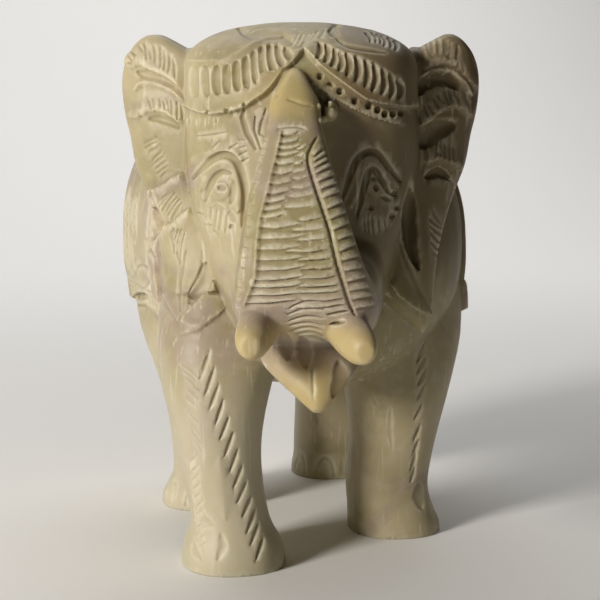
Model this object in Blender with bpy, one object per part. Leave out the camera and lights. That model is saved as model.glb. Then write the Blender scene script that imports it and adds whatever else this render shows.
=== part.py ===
"""Hand-carved stone elephant with its trunk raised to its forehead, one solid piece.

Metres, +Z up. The soles stand on z = 0, the elephant faces -Y, and the origin is under its middle.
The carving is a free form, so its places are shares of its height: one unit is a hundredth of HEIGHT.
"""
import math

import bmesh
import bpy
import numpy as np
from mathutils import Matrix, Vector

# Driving sizes
HEIGHT = 0.100
BODY_WIDTH = 0.068
CLOTH_RISE = 0.0008
HEM_RISE = 0.0014
CAP_RISE = 0.0010
LOBE_RISE = 0.0013
ARRIS_RISE = 0.0007
TRUNK_GROOVE_DEPTH = 0.0009
RAIL_GROOVE_DEPTH = 0.0014
LEG_NOTCH_DEPTH = 0.0013
FLUTE_DEPTH = 0.0012
STROKE_DEPTH = 0.0008
EYE_DEPTH = 0.0009
TRUNK_GROOVES = 18
LEG_NOTCHES = 13
CAP_FLUTES = 12
EAR_STROKES = 5
TOE_NAILS = 4
CLOTH_LEAVES = 4
FACETS = 9800

UNIT = HEIGHT / 100.0
GRAIN = 0.62 * UNIT
RING_POINTS = 40
SOLE_CUT = 3.0
SOFTENING = 6

# Half widths of the cuts, in units
FINE_CUT = 0.6
STROKE_CUT = 0.75
BOLD_CUT = 0.9
DEEP_CUT = 1.2

# How full a section is: 2 is an ellipse, more is squarer and less is sharper at its sides
EDGED = 1.7
ROUND = 2.0
OVAL = 2.3
SQUARISH = 2.7
FLAT_SIDED = 3.2

# Pose: the head turns about a point in the neck, and the left feet stand ahead of the right ones
NECK_Y = -10.0
HEAD_TURN = math.radians(14.0)

# Body stations from chest to rump: y, middle z, half width as a share of the widest, half height
BODY_MIDDLE_X = 0.4
BODY_STATIONS = (
    (-31, 56, 0.36, 15), (-27, 57, 0.66, 23), (-18, 58, 0.88, 27), (-6, 59, 0.95, 29.5),
    (8, 59.8, 0.98, 31), (22, 60, 1.0, 31.5), (33, 59, 0.95, 30), (42, 57, 0.8, 26),
    (47.5, 55.5, 0.54, 18.5), (50, 54.5, 0.2, 8),
)
# Leg stations from the sole up: z, x, y, half width, half depth
FRONT_LEFT = (
    (-SOLE_CUT, -18.4, -31, 9.6, 10.4), (1.5, -18.5, -31, 9.6, 10.4), (4.5, -18.6, -31, 8.9, 9.8),
    (9, -19.1, -31, 7.2, 8.6), (18, -20.8, -30.5, 7.6, 8.8), (25.5, -21.2, -30, 8.3, 9.6),
    (34, -20.8, -27.5, 10.2, 11.5), (42, -19.5, -24, 12.2, 13), (50, -17, -20, 13, 14),
)
FRONT_RIGHT = (
    (-SOLE_CUT, 17.4, -14.3, 9.2, 10), (1.5, 17.4, -14.3, 9.2, 10), (4.5, 16.7, -14.3, 8.6, 9.5),
    (9, 16.0, -14, 8.2, 8.8), (14, 16.4, -14, 8.3, 9), (20.5, 17.3, -14, 8.8, 9.6),
    (30, 18.0, -13.5, 10.7, 11.2), (40, 18.2, -11, 13.4, 13), (50, 18, -8, 14.5, 14),
)
HIND_LEFT = (
    (-SOLE_CUT, -17.1, 15, 9.8, 10.2), (1.5, -17.1, 15, 9.8, 10.2), (4.5, -16.4, 15, 9.1, 9.7),
    (8, -15.8, 15.5, 8.5, 9.4), (18, -16.2, 18, 8.8, 10.4), (28, -17, 21.5, 10.2, 12.5),
    (38, -17.6, 25, 12.8, 15.5), (50, -17, 27, 15, 17),
)
HIND_RIGHT = (
    (-SOLE_CUT, 16.4, 37, 9.6, 9.6), (1.5, 16.4, 37, 9.6, 9.6), (4.5, 16.4, 37, 9.1, 9.2),
    (9, 16.3, 37, 8.9, 9), (19, 17.0, 36, 9.4, 10.2), (28, 18.0, 34, 11.3, 12),
    (38, 18, 33, 13.5, 14), (50, 17, 31, 15, 15),
)

# Head stations from chin to crest, in the head's own frame: z, y, half width, half depth
SKULL_STATIONS = (
    (36, -23, 4, 7), (39, -23, 8.5, 11.5), (44, -22, 12, 14), (50, -21.5, 14.8, 14.5),
    (58, -20.5, 17.6, 15), (66, -20.5, 20, 15.3), (74, -20.5, 21.2, 15.6), (80, -21, 21.2, 16),
    (86, -21.5, 20.2, 16.2), (91.5, -21, 20.3, 15), (94.6, -20, 19.0, 13), (97.4, -18.5, 13.9, 9.6),
    (99, -17.5, 6, 4.2),
)
CROWN_START_Z = 89
CROWN_SHIFT = -0.9
# Ear stations from the leaf tip up: z, inner x, outer x, y, half thickness
EAR_STATIONS = (
    (42.4, 22.6, 23.2, -21, 0.5), (44.5, 20.2, 24.2, -20.5, 2.4), (47, 17, 24.8, -20, 3.8),
    (51, 13.5, 25.2, -19.5, 4.8),
    (56, 13, 25.6, -18.5, 5.6), (62.5, 14, 26.8, -17, 6.2), (68.6, 14, 28.8, -16, 6.4),
    (74, 15, 31, -15.8, 6.2), (79.5, 16, 32.1, -16, 5.6), (83, 16, 33.1, -16.5, 5),
    (87, 16, 33.8, -16.5, 4.5), (91, 17, 33.8, -16.5, 4.1), (94.5, 19.8, 32.6, -16.5, 3.6),
    (97, 24, 30.4, -16.5, 2.6), (98.2, 26.4, 28.4, -16.5, 1.2),
)
EAR_SLANT = math.radians(20.0)
EAR_REACH = {-1: 0.7, 1: -0.9}
# Trunk stations from the face round to the tip: x, y, z, turn of the section, half width, half depth
TRUNK_STATIONS = (
    (1.0, -26, 53, 0, 14, 12), (1.4, -36, 52, 5, 13, 9.4), (1.6, -44, 51.2, 18, 12.2, 7.6),
    (1.5, -49.2, 52.6, 50, 11.9, 6), (0.7, -50.6, 57.5, 92, 10.4, 5), (-0.1, -48.7, 65, 105, 8.6, 4.6),
    (-0.4, -45.8, 73, 112, 6.4, 4.3), (-0.5, -42.8, 80, 115, 4.6, 4), (-0.6, -40.6, 84, 118, 4.3, 3.8),
    (-0.7, -38, 87.6, 120, 3, 3), (-0.7, -36.5, 89.8, 122, 1.2, 1.4),
)
# Tusk and lip stations: x, y, z, turn of the section, half width, half depth
LEFT_TUSK = (
    (-5.4, -40, 49.4, 0, 3.8, 4.2), (-6, -48, 48, 0, 3.5, 4.3), (-6.6, -54, 46.6, 0, 3.1, 3.9),
    (-6.9, -57, 45.8, 0, 2.7, 3.2), (-7, -59, 45, 0, 1.5, 1.8),
)
RIGHT_TUSK = (
    (6, -40, 49.6, 0, 3.8, 4.2), (7.4, -47, 48.1, 0, 3.6, 4.2), (9, -53, 46.4, 0, 3.3, 3.8),
    (10.5, -57, 45, 0, 2.8, 3.1), (11.3, -59.2, 44.2, 0, 1.5, 1.7),
)
LIP_STATIONS = (
    (1.2, -26, 43.2, 0, 8.6, 6), (1.8, -36, 42.2, -4, 9.2, 5), (2.3, -43, 40.6, -14, 8.6, 4),
    (2.8, -46.8, 38, -34, 6.2, 3), (3.3, -49, 35.2, -48, 3.3, 2), (3.5, -49.9, 33, -52, 1.0, 0.9),
)
# Tail stations down the rump: x, y, z, half width, half depth
TAIL_STATIONS = (
    (0, 46, 78, 2.4, 2.4), (0.2, 50, 70, 2.4, 2.4), (0.8, 51.3, 60, 2, 2.1), (1.8, 50.8, 50, 1.8, 1.9),
    (2.8, 49.2, 41, 2.5, 2.3), (3.4, 47.8, 35, 2.2, 2), (3.6, 47, 31, 0.8, 0.8),
)

# Where each part of the head lies, in the head's frame
TRUNK_FRONT_Y = -40.5
FACE_FRONT_Y = -39.4
NAPE_Y = -6.0
CROWN_LOW_Z = 76.0
CROWN_HALF_WIDTH = 22.5
CHEEK_HALF_WIDTH = 21.6
CHEEK_SLOPE = 0.3
CHEEK_NARROWING = 8.0
EAR_FRONT_Y = -29.0
EAR_BACK_Y = -13.0
EAR_LOW_Z = 43.0

# Trunk carving, in the head's frame: x of each line at the top and the foot of the ridged face
FACE_TOP_Z = 79.6
FACE_FOOT_Z = 50.5
LEFT_ARRIS = (-2.7, -8.4)
RIGHT_GROOVE = (0.9, 8.7)
LEFT_EDGE = (-4.9, -10.4)
RIGHT_EDGE = (4.1, 12.6)
GROOVE_WAVE = 0.3

# Cap carving, in the head's frame: the rim rises to a peak over the trunk's tip
RIM_LOW_Z = 82.8
RIM_PEAK = 9.7
RIM_PEAK_X = 0.8
RIM_SPREAD = 5.8
RIM_SHARPNESS = 1.58
BAND_WIDTH = 2.4
BAND_SHARE = 0.75
FLUTE_OUTER_X = 19.2
FLUTE_INNER_X = 2.6
FLUTE_TOP_Z = 97.5
FLUTE_LEAN = 0.9
FLUTE_FOOT = {-1: 3.0, 1: 4.0}
FLUTE_LENGTH = {-1: 5.6, 1: 3.9}

# Eye lines from the outer corner over the top to the inner end: distance from the middle, z
EYE_INNER = ((17.3, 67.8), (15.6, 71.3), (13.0, 72.9), (11.6, 71.0), (11.3, 66.9))
EYE_OUTER = ((20.2, 70.4), (18.0, 73.6), (15.6, 75.5), (12.8, 76.0), (10.4, 74.2), (9.4, 71.0), (9.2, 66.9))
EYE = (13.8, 69.8)
EYE_RADIUS = 1.7
EYE_FLATNESS = 1.2

# Ear lobes overlap like leaves: z of each lower edge at the inner side, the middle and the outer rim
EAR_INNER_X = 21.0
EAR_RIM_X = 33.0
EAR_EDGES = ((106, 106, 106), (87.5, 90.2, 91.6), (80.6, 82.9, 82.2), (72.8, 69.8, 67.4),
             (65.8, 61.6, 57), (58.5, 53.5, 47), (40, 38, 36))
LOBE_REACH = 12.0
EAR_STROKE_START_X = 22.6
EAR_STROKE_END_X = 30.4
EAR_STROKE_MIDDLE_X = 24.0
EAR_STROKE_FOOT = 1.7
EAR_STROKE_LENGTH = 4.6
EAR_STROKE_SHARE = 0.45
EAR_STROKE_TILT = 0.22
LEAF_LINE = ((15.6, 56), (17.4, 51.5), (20.2, 47.4), (22.6, 44.6))

# Notch columns down the front legs: x and z from the top one to the lowest, and each notch's lean
LEFT_NOTCHES = ((-24.5, 38.2), (-21.8, 28.6), (-19.7, 20), (-15.8, 6.6))
RIGHT_NOTCHES = ((21.0, 38.8), (19.3, 31), (18.9, 20.5), (18.7, 10.3))
NOTCH_REACH = (1.0, 2.7)
NOTCH_SHORTENING = 0.25
LEG_TOP_Z = 44.0
LEG_FRONT_Y = -12.0

# Toenails: arches round the front of each foot
FOOT_REACH = 14.0
FOOT_TOP_Z = 12.0
NAIL_SWEEP = math.radians(66)
NAIL_HALF_WIDTH = 2.2
NAIL_HEIGHT = 4.2
NAIL_FOOT_Z = 1.0

# Saddle cloth: where its hem, front and back edges run, and the leaves on its flanks
HEM_Z = 44.6
CLOTH_FRONT_Y = -15.0
CLOTH_BACK_Y = 34.0
CLOTH_BORDER = 4.2
CLOTH_MARGIN = 8.0
CLOTH_HANG_Z = 62.0
CLOTH_TOP_Z = 92.0
EDGE_SOFTNESS = 0.35
HEAD_CLEARANCE = 17.0
HEAD_MIDDLE_Y = -20.0
HEM_CELLS = 16
HEM_CELL_INSET = 1.5
LEAF_GAP = 2.0
LEAF_LENGTH = 19.0
LEAF_FULLNESS = 0.4
LEAF_VEINS = 4
VEIN_START = 5.0
VEIN_PITCH = 3.6
VEIN_REACH = 0.6

STONE = (0.50, 0.44, 0.30, 1.0)


def between_stations(stations, steps):
    """Catmull-Rom rows between the given ones, so few stations make a smooth loft."""
    rows = np.array(stations, dtype=float)
    padded = np.vstack([rows[0], rows, rows[-1]])
    result = []
    for index in range(len(rows) - 1):
        before, start, end, after = padded[index:index + 4]
        for step in range(steps):
            t = step / steps
            result.append(0.5 * (
                2 * start + (end - before) * t
                + (2 * before - 5 * start + 4 * end - after) * t ** 2
                + (3 * start - before - 3 * end + after) * t ** 3))
    result.append(rows[-1])
    return result


def ring(centre, across, along, half_across, half_along, power):
    """Points of a superellipse round centre, in plain units."""
    points = []
    for step in range(RING_POINTS):
        angle = 2 * math.pi * step / RING_POINTS
        side = math.copysign(abs(math.cos(angle)) ** (2 / power), math.cos(angle)) * half_across
        rise = math.copysign(abs(math.sin(angle)) ** (2 / power), math.sin(angle)) * half_along
        points.append(centre + across * side + along * rise)
    return points


def loft(bm, rings, placing=Matrix()):
    """Closed skin over a row of rings, added to the mesh at its real size."""
    rows = []
    for points in rings:
        rows.append([bm.verts.new((placing @ point) * UNIT) for point in points])
    for lower, upper in zip(rows, rows[1:]):
        for index in range(RING_POINTS):
            following = (index + 1) % RING_POINTS
            bm.faces.new((lower[index], lower[following], upper[following], upper[index]))
    bm.faces.new(rows[0])
    bm.faces.new(rows[-1])


def upright_loft(bm, stations, power, placing=Matrix(), steps=3):
    """Loft of level rings: each station is z, x, y, half width, half depth."""
    rings = []
    for z, x, y, half_width, half_depth in between_stations(stations, steps):
        centre = Vector((x, y, z))
        rings.append(ring(centre, Vector((1, 0, 0)), Vector((0, 1, 0)), half_width, half_depth, power))
    loft(bm, rings, placing)


def turning_loft(bm, stations, power, placing=Matrix(), steps=4):
    """Loft of rings that tip over as they go: turn 0 is upright and facing forward, 90 is level."""
    rings = []
    for x, y, z, turn, half_width, half_depth in between_stations(stations, steps):
        tip = math.radians(turn)
        along = Vector((0, math.sin(tip), math.cos(tip)))
        rings.append(ring(Vector((x, y, z)), Vector((1, 0, 0)), along, half_width, half_depth, power))
    loft(bm, rings, placing)


def head_placing():
    """From the head's own frame, whose y = 0 is at the neck, to the elephant's frame."""
    return Matrix.Translation((0, NECK_Y, 0)) @ Matrix.Rotation(-HEAD_TURN, 4, "Z")


def add_body(bm):
    half_body = BODY_WIDTH / 2 / UNIT
    rings = []
    for y, z, width, half_height in between_stations(BODY_STATIONS, 3):
        centre = Vector((BODY_MIDDLE_X, y, z))
        across, along = Vector((1, 0, 0)), Vector((0, 0, 1))
        rings.append(ring(centre, across, along, width * half_body, half_height, OVAL))
    loft(bm, rings)


def add_legs(bm):
    for stations in (FRONT_LEFT, FRONT_RIGHT, HIND_LEFT, HIND_RIGHT):
        upright_loft(bm, stations, OVAL)


def add_head(bm):
    stations = []
    for z, y, half_width, half_depth in SKULL_STATIONS:
        shift = CROWN_SHIFT * max(z - CROWN_START_Z, 0) / (SKULL_STATIONS[-1][0] - CROWN_START_Z)
        stations.append((z, shift, y, half_width, half_depth))
    upright_loft(bm, stations, SQUARISH, head_placing())


def add_ears(bm):
    for side in (-1, 1):
        across = Vector((side * math.cos(EAR_SLANT), math.sin(EAR_SLANT), 0))
        along = Vector((-side * math.sin(EAR_SLANT), math.cos(EAR_SLANT), 0))
        rings = []
        for z, inner, outer, y, half_thickness in between_stations(EAR_STATIONS, 3):
            reach = outer + EAR_REACH[side]
            centre = Vector((side * (inner + reach) / 2, y, z))
            rings.append(ring(centre, across, along, (reach - inner) / 2, half_thickness, SQUARISH))
        loft(bm, rings, head_placing())


def add_trunk(bm):
    turning_loft(bm, TRUNK_STATIONS, FLAT_SIDED, head_placing())


def add_mouth(bm):
    for stations in (LEFT_TUSK, RIGHT_TUSK):
        turning_loft(bm, stations, ROUND, head_placing())
    turning_loft(bm, LIP_STATIONS, EDGED, head_placing())


def add_tail(bm):
    rings = []
    for x, y, z, half_width, half_depth in between_stations(TAIL_STATIONS, 3):
        rings.append(ring(Vector((x, y, z)), Vector((1, 0, 0)), Vector((0, 1, 0)), half_width, half_depth, ROUND))
    loft(bm, rings)


def evaluated(blank):
    """The blank's mesh as its modifiers leave it."""
    graph = bpy.context.evaluated_depsgraph_get()
    return bpy.data.meshes.new_from_object(blank.evaluated_get(graph), depsgraph=graph)


def rough_block():
    """All forms joined into one skin, with their meetings softened."""
    bm = bmesh.new()
    for add in (add_body, add_legs, add_head, add_ears, add_trunk, add_mouth, add_tail):
        add(bm)
    bmesh.ops.recalc_face_normals(bm, faces=bm.faces)
    mesh = bpy.data.meshes.new("elephant")
    bm.to_mesh(mesh)
    bm.free()
    blank = bpy.data.objects.new("blank", mesh)
    bpy.context.scene.collection.objects.link(blank)
    remesh = blank.modifiers.new("one skin", "REMESH")
    remesh.mode = "VOXEL"
    remesh.voxel_size = GRAIN
    soften = blank.modifiers.new("soften", "SMOOTH")
    soften.factor = 0.5
    soften.iterations = SOFTENING
    skin = evaluated(blank)
    bpy.data.objects.remove(blank)
    return skin


class Skin:
    """The block's skin while it is carved: its points, the way they face, and how far each one moves."""

    def __init__(self, mesh):
        self.mesh = mesh
        self.points = self.read("co") / UNIT
        self.facing = self.read("normal")
        self.rise = np.zeros(len(self.points))
        self.cuts = np.zeros(len(self.points))
        turn = np.array(head_placing().inverted())
        self.in_head = self.points @ turn[:3, :3].T + turn[:3, 3]
        self.head_facing = self.facing @ turn[:3, :3].T

    def read(self, name):
        values = np.empty(len(self.mesh.vertices) * 3, dtype=np.float32)
        self.mesh.vertices.foreach_get(name, values)
        return values.reshape(-1, 3).astype(float)

    def finish(self):
        """Moves every point out by its rise and in by its deepest cut."""
        moved = self.points + self.facing * (self.rise - self.cuts)[:, None]
        self.mesh.vertices.foreach_set("co", (moved * UNIT).astype(np.float32).ravel())
        self.mesh.update()


class View:
    """One side of the stone seen flat: across and up are its points' places in that picture."""

    def __init__(self, skin, across, up, where):
        self.skin = skin
        self.picked = np.flatnonzero(where)
        self.across = across[self.picked]
        self.up = up[self.picked]

    def nearness(self, path, half_width, taper, lean):
        """1 on the path, 0 at half_width beside it; taper thins its ends, lean steepens its left side."""
        best = np.zeros(len(self.picked))
        path = [np.array(point, dtype=float) for point in path]
        lengths = [float(np.linalg.norm(end - start)) for start, end in zip(path, path[1:])]
        total = sum(lengths)
        done = 0.0
        for start, end, length in zip(path, path[1:], lengths):
            low = np.minimum(start, end) - half_width
            high = np.maximum(start, end) + half_width
            close = np.flatnonzero((self.across > low[0]) & (self.across < high[0])
                                   & (self.up > low[1]) & (self.up < high[1]))
            if len(close) and length > 0:
                run = (end - start) / length
                x = self.across[close] - start[0]
                z = self.up[close] - start[1]
                along = np.clip(x * run[0] + z * run[1], 0, length)
                beside = run[0] * z - run[1] * x
                gap = np.hypot(x - run[0] * along, z - run[1] * along)
                share = np.clip((done + along) / total, 0, 1)
                width = half_width * np.maximum(np.sin(math.pi * share), 1e-3) ** taper
                width = np.where(beside > 0, width * lean, width)
                best[close] = np.maximum(best[close], 1 - gap / width)
            done += length
        return np.maximum(best, 0)

    def cut(self, path, half_width, depth, taper=0.5, lean=1.0):
        """A tapered groove along the path."""
        amount = depth / UNIT * self.nearness(path, half_width, taper, lean)
        self.skin.cuts[self.picked] = np.maximum(self.skin.cuts[self.picked], amount)

    def ridge(self, path, half_width, height, taper=0.2):
        """A sharp ridge along the path."""
        self.skin.rise[self.picked] += height / UNIT * self.nearness(path, half_width, taper, 1.0)

    def lift(self, height, amount):
        """Raises the points by their amount, 0 to 1, of height."""
        self.skin.rise[self.picked] += height / UNIT * amount


def share_between(value, start, end):
    """0 at start, 1 at end, smooth between."""
    t = np.clip((value - start) / (end - start), 0, 1)
    return t * t * (3 - 2 * t)


def point_along(path, share):
    """The point that lies a share of the way along a path of evenly counted points."""
    place = share * (len(path) - 1)
    index = min(int(place), len(path) - 2)
    start = np.array(path[index], dtype=float)
    end = np.array(path[index + 1], dtype=float)
    return start + (end - start) * (place - index)


def on_line(line, z):
    """x of a trunk line at height z."""
    share = (FACE_TOP_Z - z) / (FACE_TOP_Z - FACE_FOOT_Z)
    return line[0] + (line[1] - line[0]) * share


def carve_trunk(skin):
    """Cross grooves down the trunk's face, with a notched rail on either side."""
    x, y, z = skin.in_head.T
    on_trunk = (y < TRUNK_FRONT_Y) & (z > FACE_FOOT_Z - 3) & (z < FACE_TOP_Z + 1)
    view = View(skin, x, z, on_trunk & (skin.head_facing[:, 1] < 0.2))
    pitch = (FACE_TOP_Z - FACE_FOOT_Z) / (TRUNK_GROOVES - 1)
    view.ridge([(on_line(LEFT_ARRIS, h), h) for h in (FACE_TOP_Z, FACE_FOOT_Z)], DEEP_CUT, ARRIS_RISE)
    groove_line = [(on_line(RIGHT_GROOVE, h), h) for h in (FACE_TOP_Z - 3, FACE_FOOT_Z - 1)]
    view.cut(groove_line, DEEP_CUT, RAIL_GROOVE_DEPTH)
    for groove in range(TRUNK_GROOVES):
        height = FACE_TOP_Z - groove * pitch
        left = on_line(LEFT_ARRIS, height) + 0.4
        right = on_line(RIGHT_GROOVE, height) - 0.8
        path = []
        for step in range(6):
            across = left + (right - left) * step / 5
            path.append((across, height + GROOVE_WAVE * math.sin(1.9 * groove + 0.8 * across)))
        view.cut(path, STROKE_CUT, TRUNK_GROOVE_DEPTH, taper=0.25, lean=0.5)
        outer = on_line(LEFT_EDGE, height)
        rail = [(outer - 0.6, height), (left - 1.0, height + GROOVE_WAVE)]
        view.cut(rail, FINE_CUT, TRUNK_GROOVE_DEPTH * 0.7)
        outer = on_line(RIGHT_EDGE, height)
        rail = [(right + 1.6, height - GROOVE_WAVE), (outer + 0.6, height)]
        view.cut(rail, STROKE_CUT, TRUNK_GROOVE_DEPTH, lean=0.5)


def rim_height(across):
    """Height of the cap's rim, which peaks over the trunk."""
    aside = np.abs(across - RIM_PEAK_X) / RIM_SPREAD
    return RIM_LOW_Z + RIM_PEAK * np.exp(-aside ** RIM_SHARPNESS)


def carve_cap(skin):
    """A raised cap with a rim band and a row of leaf flutes on either side."""
    x, y, z = skin.in_head.T
    on_head = (y > FACE_FRONT_Y) & (y < NAPE_Y) & (z > CROWN_LOW_Z) & (np.abs(x) < CROWN_HALF_WIDTH)
    view = View(skin, x, z, on_head & (skin.head_facing[:, 1] < 0.3))
    above = view.up - rim_height(view.across)
    view.lift(CAP_RISE, share_between(above, -0.5, 0.5))
    band = np.minimum(share_between(above, -BAND_WIDTH - 0.5, -BAND_WIDTH), share_between(above, 0.1, -0.6))
    view.lift(CAP_RISE, BAND_SHARE * band)
    for side in (-1, 1):
        for flute in range(CAP_FLUTES):
            inward = flute / (CAP_FLUTES - 1)
            across = side * (FLUTE_OUTER_X + (FLUTE_INNER_X - FLUTE_OUTER_X) * inward)
            foot = rim_height(across) + FLUTE_FOOT[side]
            lean = side * FLUTE_LEAN * inward
            top = min(foot + FLUTE_LENGTH[side], FLUTE_TOP_Z)
            path = [(across, foot), (across + lean / 3, (foot + top) / 2), (across + lean, top)]
            view.cut(path, STROKE_CUT, FLUTE_DEPTH, taper=0.4)


def carve_face(skin):
    """Two arched lines round each eye, and the eye itself."""
    x, y, z = skin.in_head.T
    on_face = (y > FACE_FRONT_Y) & (y < HEAD_MIDDLE_Y) & (z > 56) & (z < RIM_LOW_Z)
    view = View(skin, x, z, on_face & (skin.head_facing[:, 1] < -0.1))
    for side in (-1, 1):
        for path in (EYE_INNER, EYE_OUTER):
            view.cut([(side * across, up) for across, up in path], STROKE_CUT, EYE_DEPTH, taper=0.3)
        away = np.hypot(view.across - side * EYE[0], (view.up - EYE[1]) * EYE_FLATNESS)
        view.lift(EYE_DEPTH, np.clip(1.3 - away / EYE_RADIUS, 0, 1))


def ear_edge(edge, across):
    """Height of a lobe's lower edge, a parabola through its three heights."""
    t = (across - EAR_INNER_X) / (EAR_RIM_X - EAR_INNER_X)
    inner, middle, outer = edge
    return inner * (1 - t) * (1 - 2 * t) + middle * 4 * t * (1 - t) + outer * t * (2 * t - 1)


def carve_ears(skin):
    """Overlapping lobes down each ear, each one a fan of short strokes."""
    x, y, z = skin.in_head.T
    wide = np.abs(x)
    beyond_cheek = wide > CHEEK_HALF_WIDTH - np.clip((CROWN_LOW_Z - z) * CHEEK_SLOPE, 0, CHEEK_NARROWING)
    in_depth = (y < EAR_BACK_Y) & (y > EAR_FRONT_Y) & (z > EAR_LOW_Z)
    on_ear = beyond_cheek & in_depth & (skin.head_facing[:, 1] < 0)
    for side in (-1, 1):
        view = View(skin, wide, z, on_ear & (x * side > 0))
        toward_rim = share_between(-skin.head_facing[view.picked, 1], 0.15, 0.75)
        for upper, lower in zip(EAR_EDGES, EAR_EDGES[1:]):
            over = view.up - ear_edge(lower, view.across)
            reach = ear_edge(upper, view.across) - ear_edge(lower, view.across)
            share = over / np.minimum(reach, LOBE_REACH)
            steepness = np.where((over > 0) & (over < reach), np.clip(1 - share, 0, 1), 0)
            view.lift(LOBE_RISE, steepness * toward_rim)
            for stroke in range(EAR_STROKES):
                outward = stroke / (EAR_STROKES - 1)
                across = EAR_STROKE_START_X + (EAR_STROKE_END_X - EAR_STROKE_START_X) * outward
                foot = float(ear_edge(lower, across)) + EAR_STROKE_FOOT
                room = float(ear_edge(upper, across) - ear_edge(lower, across))
                length = min(EAR_STROKE_LENGTH, EAR_STROKE_SHARE * room)
                tilt = EAR_STROKE_TILT * (across - EAR_STROKE_MIDDLE_X)
                view.cut([(across, foot), (across + tilt, foot + length)], FINE_CUT, STROKE_DEPTH)
        view.cut(LEAF_LINE, BOLD_CUT, LOBE_RISE, taper=0.3)


def carve_notches(skin):
    """A column of slanting notches down each front leg."""
    x, y, z = skin.points.T
    view = View(skin, x, z, (y < LEG_FRONT_Y) & (skin.facing[:, 1] < 0.1) & (z < LEG_TOP_Z))
    for column in (LEFT_NOTCHES, RIGHT_NOTCHES):
        for notch in range(LEG_NOTCHES):
            centre = point_along(column, notch / (LEG_NOTCHES - 1))
            reach = np.array(NOTCH_REACH) * (1 - NOTCH_SHORTENING * notch / LEG_NOTCHES)
            view.cut([centre + reach, centre - reach], BOLD_CUT, LEG_NOTCH_DEPTH, taper=0.7, lean=0.6)


def carve_toenails(skin):
    """Arched nails round the front of every foot."""
    x, y, z = skin.points.T
    for stations in (FRONT_LEFT, FRONT_RIGHT, HIND_LEFT, HIND_RIGHT):
        centre_x, centre_y, half_width = stations[1][1:4]
        angle = np.arctan2(x - centre_x, centre_y - y)
        on_foot = (np.hypot(x - centre_x, y - centre_y) < FOOT_REACH) & (z < FOOT_TOP_Z)
        view = View(skin, angle * half_width, z, on_foot)
        for nail in range(TOE_NAILS):
            middle = half_width * NAIL_SWEEP * (2 * nail / (TOE_NAILS - 1) - 1)
            arch = []
            for step in range(9):
                bend = math.pi * step / 8
                across = middle + NAIL_HALF_WIDTH * math.cos(bend)
                arch.append((across, NAIL_FOOT_Z + NAIL_HEIGHT * math.sin(bend)))
            view.cut(arch, STROKE_CUT, STROKE_DEPTH, taper=0.2)


def carve_leaf(view, middle, half, foot):
    """One leaf of the saddle cloth: a bowed outline on either side, and its veins."""
    for bow in (-1, 1):
        outline = []
        for step in range(9):
            t = step / 8
            outline.append((middle + bow * half * math.sin(math.pi * t), foot + LEAF_GAP + LEAF_LENGTH * t))
        view.cut(outline, STROKE_CUT, STROKE_DEPTH, taper=0.15)
        for vein in range(LEAF_VEINS):
            up = foot + VEIN_START + VEIN_PITCH * vein
            view.cut([(middle, up - 1), (middle + bow * half * VEIN_REACH, up + 1)], FINE_CUT, STROKE_DEPTH)


def carve_cloth(skin):
    """A saddle cloth over the back, with a bordered hem and a row of leaves on each flank."""
    x, y, z = skin.points.T
    in_length = (y > CLOTH_FRONT_Y - CLOTH_MARGIN) & (y < CLOTH_BACK_Y + CLOTH_MARGIN)
    clear_of_head = np.hypot(skin.in_head[:, 0], skin.in_head[:, 1] - HEAD_MIDDLE_Y) > HEAD_CLEARANCE
    on_body = in_length & clear_of_head & (z > HEM_Z - CLOTH_MARGIN)
    near, far = CLOTH_FRONT_Y + CLOTH_BORDER, CLOTH_BACK_Y - CLOTH_BORDER
    hem = HEM_Z + CLOTH_BORDER
    for side in (-1, 1):
        view = View(skin, y, z, on_body & (x * side > 0))
        inside = np.minimum(view.across - CLOTH_FRONT_Y, CLOTH_BACK_Y - view.across)
        inside = np.minimum(inside, view.up - HEM_Z)
        drop = 1 + (HEM_RISE / CLOTH_RISE - 1) * share_between(view.up, CLOTH_HANG_Z, HEM_Z)
        view.lift(CLOTH_RISE, drop * share_between(inside, -EDGE_SOFTNESS, EDGE_SOFTNESS))
        border = [(near, CLOTH_TOP_Z), (near, hem), (far, hem), (far, CLOTH_TOP_Z)]
        view.cut(border, STROKE_CUT, STROKE_DEPTH, taper=0.1)
        first, last = CLOTH_FRONT_Y + HEM_CELL_INSET, CLOTH_BACK_Y - HEM_CELL_INSET
        for cell in range(HEM_CELLS):
            along = first + (last - first) * cell / (HEM_CELLS - 1)
            view.cut([(along, HEM_Z + 0.8), (along, hem - 0.8)], STROKE_CUT, STROKE_DEPTH)
        pitch = (far - near) / CLOTH_LEAVES
        for leaf in range(CLOTH_LEAVES):
            carve_leaf(view, near + pitch * (leaf + 0.5), pitch * LEAF_FULLNESS, hem)


def carve(mesh):
    skin = Skin(mesh)
    for work in (carve_trunk, carve_cap, carve_face, carve_ears, carve_notches, carve_toenails, carve_cloth):
        work(skin)
    skin.finish()


def faceted(skin):
    """The carved skin in its final number of facets."""
    blank = bpy.data.objects.new("blank", skin)
    bpy.context.scene.collection.objects.link(blank)
    decimate = blank.modifiers.new("facets", "DECIMATE")
    decimate.ratio = min(1.0, FACETS / (2.0 * len(skin.polygons)))
    result = evaluated(blank)
    bpy.data.objects.remove(blank)
    return result


def flat_soles(mesh):
    """Cuts the feet level at z = 0 and closes them."""
    bm = bmesh.new()
    bm.from_mesh(mesh)
    everything = bm.verts[:] + bm.edges[:] + bm.faces[:]
    cut = bmesh.ops.bisect_plane(bm, geom=everything, plane_co=(0, 0, 0), plane_no=(0, 0, -1),
                                 clear_outer=True)
    rim = [item for item in cut["geom_cut"] if isinstance(item, bmesh.types.BMEdge)]
    bmesh.ops.holes_fill(bm, edges=rim, sides=0)
    bmesh.ops.triangulate(bm, faces=bm.faces)
    bm.to_mesh(mesh)
    bm.free()


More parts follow.
